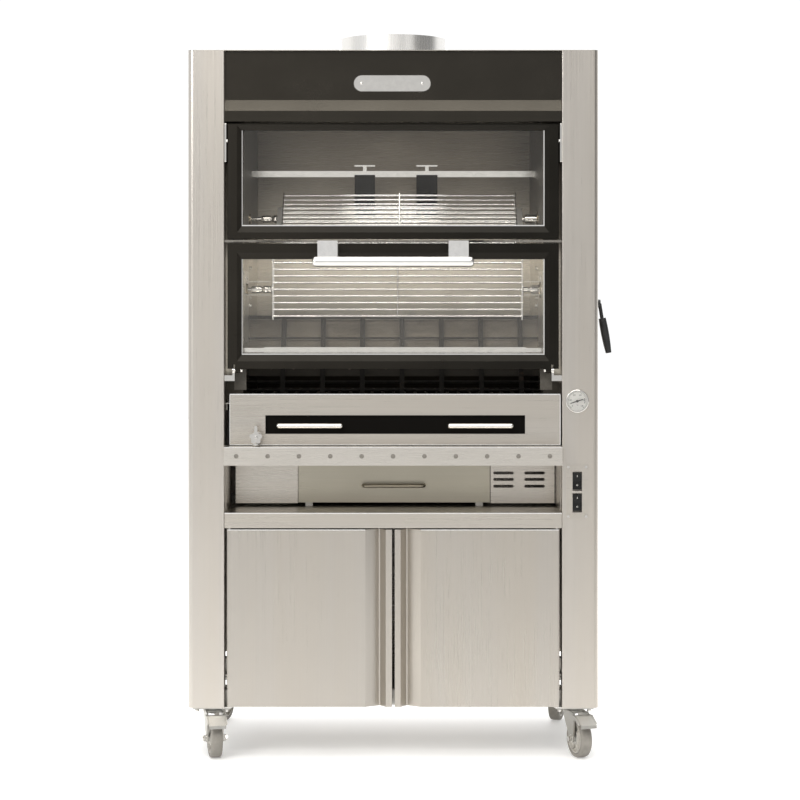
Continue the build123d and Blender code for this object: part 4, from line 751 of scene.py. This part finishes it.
def panscrew(bm, m, r, h):
    """pan head screw with a real cross recess"""
    add_lathe(bm, m, [(0, 0), (r * 0.97, 0), (r, h * 0.22), (r * 0.98, h * 0.42), (0, h * 0.42)], 32)
    add_holed(bm, m, circle(r * 0.975, 32), [cross(r * 0.13, r * 0.56)], h * 0.42, h * 0.70)
    add_holed(bm, m, circle(r * 0.84, 32), [cross(r * 0.13, r * 0.56)], h * 0.70, h * 0.92, 0.0)
    add_holed(bm, m, circle(r * 0.68, 32), [cross(r * 0.13, r * 0.56)], h * 0.92, h, 0.0)


def front(x, d, z, tilt=0.0):
    """frame on a front face: local z towards the viewer, local y up"""
    return T((x, F * 1000 + d, z), (cos(radians(tilt)), 0, sin(radians(tilt))), (0, -1, 0))


def text_mesh(txt, size, m, h0, h1, bm):
    cu = bpy.data.curves.new("t", "FONT")
    cu.body = txt
    cu.size = size
    cu.align_x = "CENTER"
    cu.align_y = "CENTER"
    cu.extrude = (h1 - h0) / 2
    ob = bpy.data.objects.new("t", cu)
    S.collection.objects.link(ob)
    bpy.context.view_layer.update()
    me = bpy.data.meshes.new_from_object(ob.evaluated_get(bpy.context.evaluated_depsgraph_get()))
    bpy.data.objects.remove(ob)
    bpy.data.curves.remove(cu)
    p = bmesh.new()
    p.from_mesh(me)
    bpy.data.meshes.remove(me)
    bmesh.ops.translate(p, verts=p.verts, vec=(0, 0, (h0 + h1) / 2))
    merge(bm, p, m)


# ------------------------------------------------------------------ thermometer
tm = front(484, 0, 938)
b = bmesh.new()
add_lathe(b, tm, [(26.5, 1.6), (26.5, 5.0), (27.2, 6.1), (28.6, 6.15), (30.0, 5.2), (30.6, 3.4), (30.65, 0.02), (29.9, 0.02), (29.9, 1.6)], 96)
piece("dial_rim", b, M["shiny"], "cabinet")
b = bmesh.new()
add_lathe(b, tm, [(1.9, 1.52), (26.45, 1.52), (26.45, 1.72), (1.9, 1.72)], 96)
piece("dial_face", b, M["dial"], "cabinet")
b = bmesh.new()
for k in range(41):
    a = radians(225 - 270 * k / 40)
    major = k % 8 == 0
    r0, r1, w = (21.0, 24.6, 0.42) if major else (22.9, 24.6, 0.22)
    add_box(b, r0, r1, -w, w, 1.72, 1.80, 0, tm @ Matrix.Rotation(a, 4, "Z"))
for k, txt in enumerate(("0", "100", "200", "300", "400", "500")):
    a = radians(225 - 54 * k)
    text_mesh(txt, 4.6, tm @ Matrix.Translation((17.6 * cos(a), 17.6 * sin(a), 0)), 1.72, 1.80, b)
text_mesh("°C", 4.4, tm @ Matrix.Translation((0.8, -10.6, 0)), 1.72, 1.80, b)
add_holed(b, tm, [(20.9 * cos(radians(t)), 20.9 * sin(radians(t))) for t in range(-16, 23, 2)] +
          [(19.7 * cos(radians(t)), 19.7 * sin(radians(t))) for t in range(22, -17, -2)], [], 1.72, 1.79)
piece("dial_marks", b, M["ink"], "cabinet")
b = bmesh.new()
add_lathe(b, tm, [(0, 4.65), (26.4, 4.65), (26.4, 5.15), (18, 5.45), (9, 5.6), (0, 5.65)], 96)
piece("dial_lens", b, M["lens"], "cabinet")

# ------------------------------------------------------------------ switch plate screws and badge rivets
b = bmesh.new()
for i, (sx, sz) in enumerate(((460, 765), (507, 765), (460, 635), (507, 635))):
    panscrew(b, front(sx, -2.0, sz, (12, 40, -25, 8)[i]), 3.9, 2.3)
for i, (sx, sz) in enumerate(((-83.6, 1775), (76.4, 1775))):
    add_lathe(b, front(sx, 9.0, sz), [(0, 0), (3.6, 0), (3.5, 0.9), (2.6, 1.8), (1.2, 2.2), (0, 2.3)], 32)
piece("plate_screws", b, M["shiny"], "cabinet", ("panel_fasteners",))

# ------------------------------------------------------------------ lower door handle
FM = F * 1000
b = bmesh.new()
hm = T((0, FM - 45, 1304), (0, 0, 1), (1, 0, 0))
add_lathe(b, hm, [(0, -212), (3.6, -211.9), (7.6, -211.1), (10.9, -209.2), (13.1, -206.2), (14, -202.6), (14, -200.9),
                  (13.55, -200.5), (13.55, -200.1), (14, -199.7), (14, 199.7), (13.55, 200.1), (13.55, 200.5), (14, 200.9),
                  (14, 202.6), (13.1, 206.2), (10.9, 209.2), (7.6, 211.1), (3.6, 211.9), (0, 212)], 64)
for hx in (-171, 171):
    add_box(b, hx - 26, hx + 26, FM - 52, FM - 48, 1306, 1359, 1.3, None, 3)
    add_box(b, hx - 20, hx + 20, FM - 48.6, FM + 0.2, 1324, 1349, 1.2)
    add_box(b, hx - 26, hx + 26, FM - 0.9, FM + 3, 1319, 1351.5, 1.2)
piece("handle_bar_and_brackets", b, M["handle"], "lower_door", ("door_handle",))

# ------------------------------------------------------------------ glazing strips, seals and screws of both doors
for nm, body, z0, z1, g0, g1, below in (("upper", "upper_door", 1365.0, 1668.0, 1399.0, 1651.0, 17), ("lower", "lower_door", 1023.0, 1353.5, 1060.0, 1312.0, 17)):
    b = bmesh.new()
    add_box(b, -398.9, 398.9, FM + 12.7, FM + 16.0, g0 + 0.05, g0 + 3.0, 0.5)
    add_box(b, 396.3, 398.9, FM + 12.7, FM + 16.0, g0 + 3.1, g1 - 0.05, 0.5)
    add_box(b, -398.9, -397.4, FM + 12.7, FM + 16.0, g0 + 3.1, g1 - 0.05, 0.4)
    piece(nm + "_glazing_strip", b, M["rail"], body)
    b = bmesh.new()
    loop = [(-405, g0 - below + 5), (405, g0 - below + 5), (405, z1 - 6.5), (-405, z1 - 6.5)]
    for i in range(4):
        (xa, za), (xb, zb) = loop[i], loop[(i + 1) % 4]
        add_tube(b, [(xa, FM + 39.3, za), (xb, FM + 39.3, zb)], 1.25, 12)
    for x, z in loop:
        add_lathe(b, T((x, FM + 39.3, z), (1, 0, 0), (0, 1, 0)), [(0, -1.2), (1.3, -1.2), (1.3, 1.2), (0, 1.2)], 16)
    piece(nm + "_rope_seal", b, M["seal"], body)
    b = bmesh.new()
    for i, x in enumerate((-360, -216, -72, 72, 216, 360)):
        for k, z in enumerate((g0 - 5.5, g1 + 4.6)):
            a = radians(23 * (i + 3 * k))
            panscrew(b, T((x, FM + 38, z), (cos(a), 0, sin(a)), (0, 1, 0)), 2.7, 1.6)
    piece(nm + "_door_screws", b, M["shiny"], body)

# ------------------------------------------------------------------ basket shafts
def shaft_halves(b, x0, x1, d, z):
    m = T((0, FM + d, z), (0, 1, 0), (1, 0, 0))
    add_lathe(b, m, [(0, -412), (5, -412), (5, x0 - 58.2), (8.2, x0 - 58), (9.6, x0 - 56.8), (9.8, x0 - 55.4), (9.8, x0 - 33),
                     (9.2, x0 - 31.6), (6.6, x0 - 31.2), (6.4, x0 - 29.6), (8.2, x0 - 28), (9.8, x0 - 24.6), (10.4, x0 - 20.5),
                     (10.0, x0 - 16), (8.6, x0 - 12.2), (9.0, x0 - 11.6), (9.0, x0), (0, x0)], 48)
    add_lathe(b, m, [(0, x1), (6.9, x1), (6.9, x1 + 21.8), (9.4, x1 + 22.2), (10.6, x1 + 23.6), (10.8, x1 + 25.2), (10.8, x1 + 41),
                     (12.8, 391.8), (12.8, 402.9), (5.95, 402.9), (5.95, 424.8), (0, 424.8)] if x1 > 345 else
              [(0, x1), (6.9, x1), (6.9, x1 + 21.8), (10.8, x1 + 22.2), (12.4, x1 + 23.8), (12.8, x1 + 25.6), (12.8, 402.9),
               (5.95, 402.9), (5.95, 424.8), (0, 424.8)], 48)
    for x, r in ((x0 - 44, 9.8), (x1 + 32, 10.8 if x1 > 345 else 12.8)):    # set screws
        for sgn in (-1, 1):
            mm = T((x, FM + d, z), (1, 0, 0), (0, -0.34 * sgn, sgn))
            add_lathe(b, mm, [(0, r - 1), (2.6, r - 1), (2.6, r + 0.7), (2.2, r + 1.0), (1.3, r + 1.0), (1.3, r + 0.2), (0, r + 0.2)], 20)


for nm, body, x0, x1, d, z in (("lower", "lower_spit", -325.0, 348.0, 150.0, 1233.0), ("upper", "upper_spit", -306.0, 339.0, 270.0, 1428.0)):
    b = bmesh.new()
    shaft_halves(b, x0, x1, d, z)
    piece(nm + "_stub_shafts", b, M["shiny"], body, (nm + "_basket_journals",))

# ------------------------------------------------------------------ fittings at the ends of the baskets
for nm, body, x0, x1, d, z, tilt, spots in (("lower", "lower_spit", -325.0, 348.0, 150.0, 1233.0, 0.0, (-19, -36)),
                                            ("upper", "upper_spit", -306.0, 339.0, 270.0, 1428.0, 45.0, (44, 27))):
    bmx = T((0, FM + d, z), (1, 0, 0), (0, sin(radians(tilt)), cos(radians(tilt))))
    b = bmesh.new()
    for x, sg in ((x0, -1), (x1, 1)):
        for lz in spots:        # latch pins with ball ends
            pm = bmx @ T((x, 9, lz), (0, 1, 0), (sg, 0, 0))
            if nm == "upper":
                add_lathe(b, pm, [(0, -0.2), (5.2, -0.2), (5.2, 0.8), (4.6, 1.2), (2.2, 1.3), (2.2, 6.0), (2.9, 6.6), (3.3, 7.8), (2.9, 9.2), (1.7, 10.1), (0, 10.4)], 24)
            else:       # low heads, which pass between the lips on the walls
                add_lathe(b, pm, [(0, -0.2), (5.2, -0.2), (5.2, 0.8), (4.4, 1.1), (3.4, 1.2), (3.4, 2.4), (2.7, 3.2), (1.5, 3.6), (0, 3.7)], 24)
        for ly, lz in ((-20, 74), (20, 74), (-20, -74), (20, -74), (0, 62), (0, -62)):
            add_lathe(b, bmx @ T((x, ly, lz), (0, 1, 0), (sg, 0, 0)), [(0, -0.1), (3.4, -0.1), (3.3, 0.7), (2.4, 1.4), (0, 1.7)], 20)
        # stiffening ring where the shaft meets the plate
        add_lathe(b, bmx @ T((x, 0, 0), (0, 1, 0), (sg, 0, 0)), [(9.2, -0.1), (15, -0.1), (15, 1.6), (14, 2.4), (11.2, 2.6), (9.2, 4.4)], 40)
    piece(nm + "_basket_fittings", b, M["rail"], body)
    if nm == "upper":       # folded lips on the front edges of the end plates
        b = bmesh.new()
        for xa, xb in ((x0 - 12.8, x0), (x1, x1 + 14.2)):
            add_prism(b, bmx @ T((0, -25.9, 0), (1, 0, 0), (0, -1, 0)), [(xa, -76), (xb, -76), (xb, 17), (xa, 17)], 0, 1.3, 0.3)
        piece("upper_basket_end_lips", b, M["satin"], body)

# ------------------------------------------------------------------ drain tap
tapm = T((-358, FM, 845), (1, 0, 0), (0, -1, 0))
b = bmesh.new()
add_lathe(b, tapm, [(0, -20), (7.9, -20), (7.9, 0), (13, 0.05), (13.2, 0.7), (12.8, 2.7), (11.2, 3.3), (8.4, 3.6), (8.4, 9.4),
                    (10.6, 10.2), (11.2, 12.5), (12.4, 17), (12.8, 23), (12.4, 29), (11.0, 34.5), (8.8, 38), (6.2, 38.6),
                    (6.0, 41.0), (3.0, 41.1), (3.0, 49.0), (2.5, 49.6), (0, 49.8)], 48)
sm = T((-358, FM - 26, 845), (1, 0, 0), (0, 0, -1))
add_lathe(b, sm, [(5.6, 22.4), (5.5, 13), (0, 13), (0, 6), (8.4, 6), (8.4, 14.6), (9.7, 15.2), (10, 16.2), (10, 21.3), (9.2, 22.4)], 40)
add_prism(b, sm, circle(10.6, 6), 10.2, 14.6, 0.5)
piece("tap_valve", b, M["shiny"], "drip_drawer", ("tap_body",))
b = bmesh.new()
star = []
for t in range(0, 360, 3):
    r = 13.0
    for k in range(5):
        dlt = radians(t - 90 - 72 * k)
        h2 = 5.6 ** 2 - (11.5 * sin(dlt)) ** 2
        if h2 > 0 and cos(dlt) > 0:
            r = max(r, 11.5 * cos(dlt) + math.sqrt(h2))
    star.append((r * cos(radians(t)), r * sin(radians(t))))
add_prism(b, tapm, star, 41.5, 48.1, 1.5, 3)
add_prism(b, tapm, [(-4, 12), (4, 12), (4, 24), (3.4, 28.2), (1.8, 30.4), (-1.8, 30.4), (-3.4, 28.2), (-4, 24)], 41.9, 47.6, 1.4, 3)
add_lathe(b, tapm, [(0, 48), (5.2, 48), (5.2, 48.8), (4.6, 49.5), (0, 49.95)], 32)
piece("tap_star_knob", b, M["shiny"], "tap_handle", ("tap_lever",))

# ------------------------------------------------------------------ badge border, rocker marks
def slot_outline(w, h, n=20):
    r = h / 2
    c = w / 2 - r
    return [(c + r * cos(-pi / 2 + pi * k / n), r * sin(-pi / 2 + pi * k / n)) for k in range(n + 1)] + \
           [(-c + r * cos(pi / 2 + pi * k / n), r * sin(pi / 2 + pi * k / n)) for k in range(n + 1)]


b = bmesh.new()
bd = front(-2.4, 9.0, 1775)
add_holed(b, bd, slot_outline(199.6, 39.6), [slot_outline(195.2, 35.2)], -0.05, 0.45)
piece("badge_border", b, M["shiny"], "cabinet")

for nm, body, zc, h in (("upper", "upper_switch", 727.6, 21.7), ("lower", "lower_switch", 671.0, 21.8)):
    b = bmesh.new()
    um = T((484, FM - 1.2 - 4.3 * 13.5 / h, zc + 13.5), (1, 0, 0), (0, -h, -4.3))
    add_box(b, -0.75, 0.75, -2.6, 2.6, -0.02, 0.10, 0, um)
    lm = T((484, FM - 1.1, zc - 10.6), (1, 0, 0), (0, -1, 0))
    add_holed(b, lm, circle(2.1, 28), [circle(1.25, 24)], -0.02, 0.14)
    piece(nm + "_rocker_marks", b, M["mark"], body)

# ------------------------------------------------------------------ screws of the rear panel
b = bmesh.new()
for sx in (-1, 1):
    for k in range(6):
        a = radians(37 * k + 50 * sx)
        panscrew(b, T((sx * 492, FM + 660, 230 + 310 * k), (cos(a), 0, sin(a)), (0, 1, 0)), 5.3, 3.1)
piece("outer_screws", b, M["shiny"], "cabinet")

# hexagon bolts on the chamber walls, over the plain heads
b = bmesh.new()
for sx in (-1, 1):
    for d, z, r in ((288, 1292.6, 5.5), (288, 1210.6, 3.5), (288, 1190, 5.5), (138, 1264, 4.5)):
        hexhead(b, T((sx * 398, FM + d, z), (0, cos(r * d), sin(r * d)), (-sx, 0, 0)), r * 1.72, 4.6, r + 1.6)
piece("wall_bolts", b, M["rail"], "cabinet", ("panel_fasteners",))

# ------------------------------------------------------------------ chamber wall liners
for sx, nm in ((-1, "left"), (1, "right")):
    b = bmesh.new()
    wm = T((sx * 397.95, 0, 0), (0, -sx, 0), (-sx, 0, 0))
    def wp(d, z):
        return (-sx * (FM + d), z)
    outer = [wp(46, 1090), wp(242, 1090), wp(242, 1282), wp(46, 1282)]
    hole = [wp(150 + 24 * cos(2 * pi * k / 48), 1233 + 24 * sin(2 * pi * k / 48)) for k in range(48)]
    add_holed(b, wm, outer, [hole], 0.0, 0.85)
    for d, z in ((54, 1098), (54, 1274), (234, 1098), (234, 1274), (144, 1098)):
        px, pz = wp(d, z)
        add_lathe(b, wm @ T((px, pz, 0.8)), [(0, 0), (3.2, 0), (3.1, 0.5), (2.2, 1.2), (0, 1.5)], 20)
    piece(nm + "_wall_liner", b, M["liner"], "cabinet")

# ------------------------------------------------------------------ rolled edges of the sheet fronts in a brighter steel as painted highlight, a dark painted shadow strip in the niche
b = bmesh.new()
add_box(b, -429.6, 439.6, FM - 0.9, FM + 1.4, 954.6, 957.35, 0.85, None, 3)
add_box(b, -429.6, 439.6, FM - 0.7, FM + 1.2, 822.7, 824.4, 0.7, None, 3)
add_box(b, 438.2, 440.3, FM - 0.8, FM + 1.2, 824.6, 954.4, 0.7, None, 3)
add_box(b, -430.3, -428.8, FM - 0.6, FM + 1.0, 824.6, 954.4, 0.55, None, 3)
piece("drip_drawer_rolled_edges", b, M["edge"], "drip_drawer")
b = bmesh.new()
add_box(b, -443.4, 443.4, FM - 0.8, FM + 1.6, 641.9, 644.3, 0.8, None, 3)
add_box(b, -440.6, 440.6, FM - 60.6, FM - 58.8, 819.3, 821.3, 0.75, None, 3)
piece("shelf_and_rail_rolled_edges", b, M["edge"], "cabinet")
for sx, nm in ((-1, "left"), (1, "right")):
    b = bmesh.new()
    x0, x1 = sorted((sx * 435.7, sx * 73.5))
    add_box(b, x0, x1, FM + 1.3, FM + 3.2, 598.1, 600.25, 0.75, None, 3)
    piece(nm + "_cupboard_rolled_edge", b, M["edge"], nm + "_cupboard")
# painted shadow: a dark strip where the niche panel meets the side, in place of a gap
b = bmesh.new()
add_box(b, 438.4, 441.4, FM + 188.8, FM + 190.1, 652.6, 770.2, 0.4)
piece("niche_gap_painted_shadow", b, M["gap"], "cabinet")
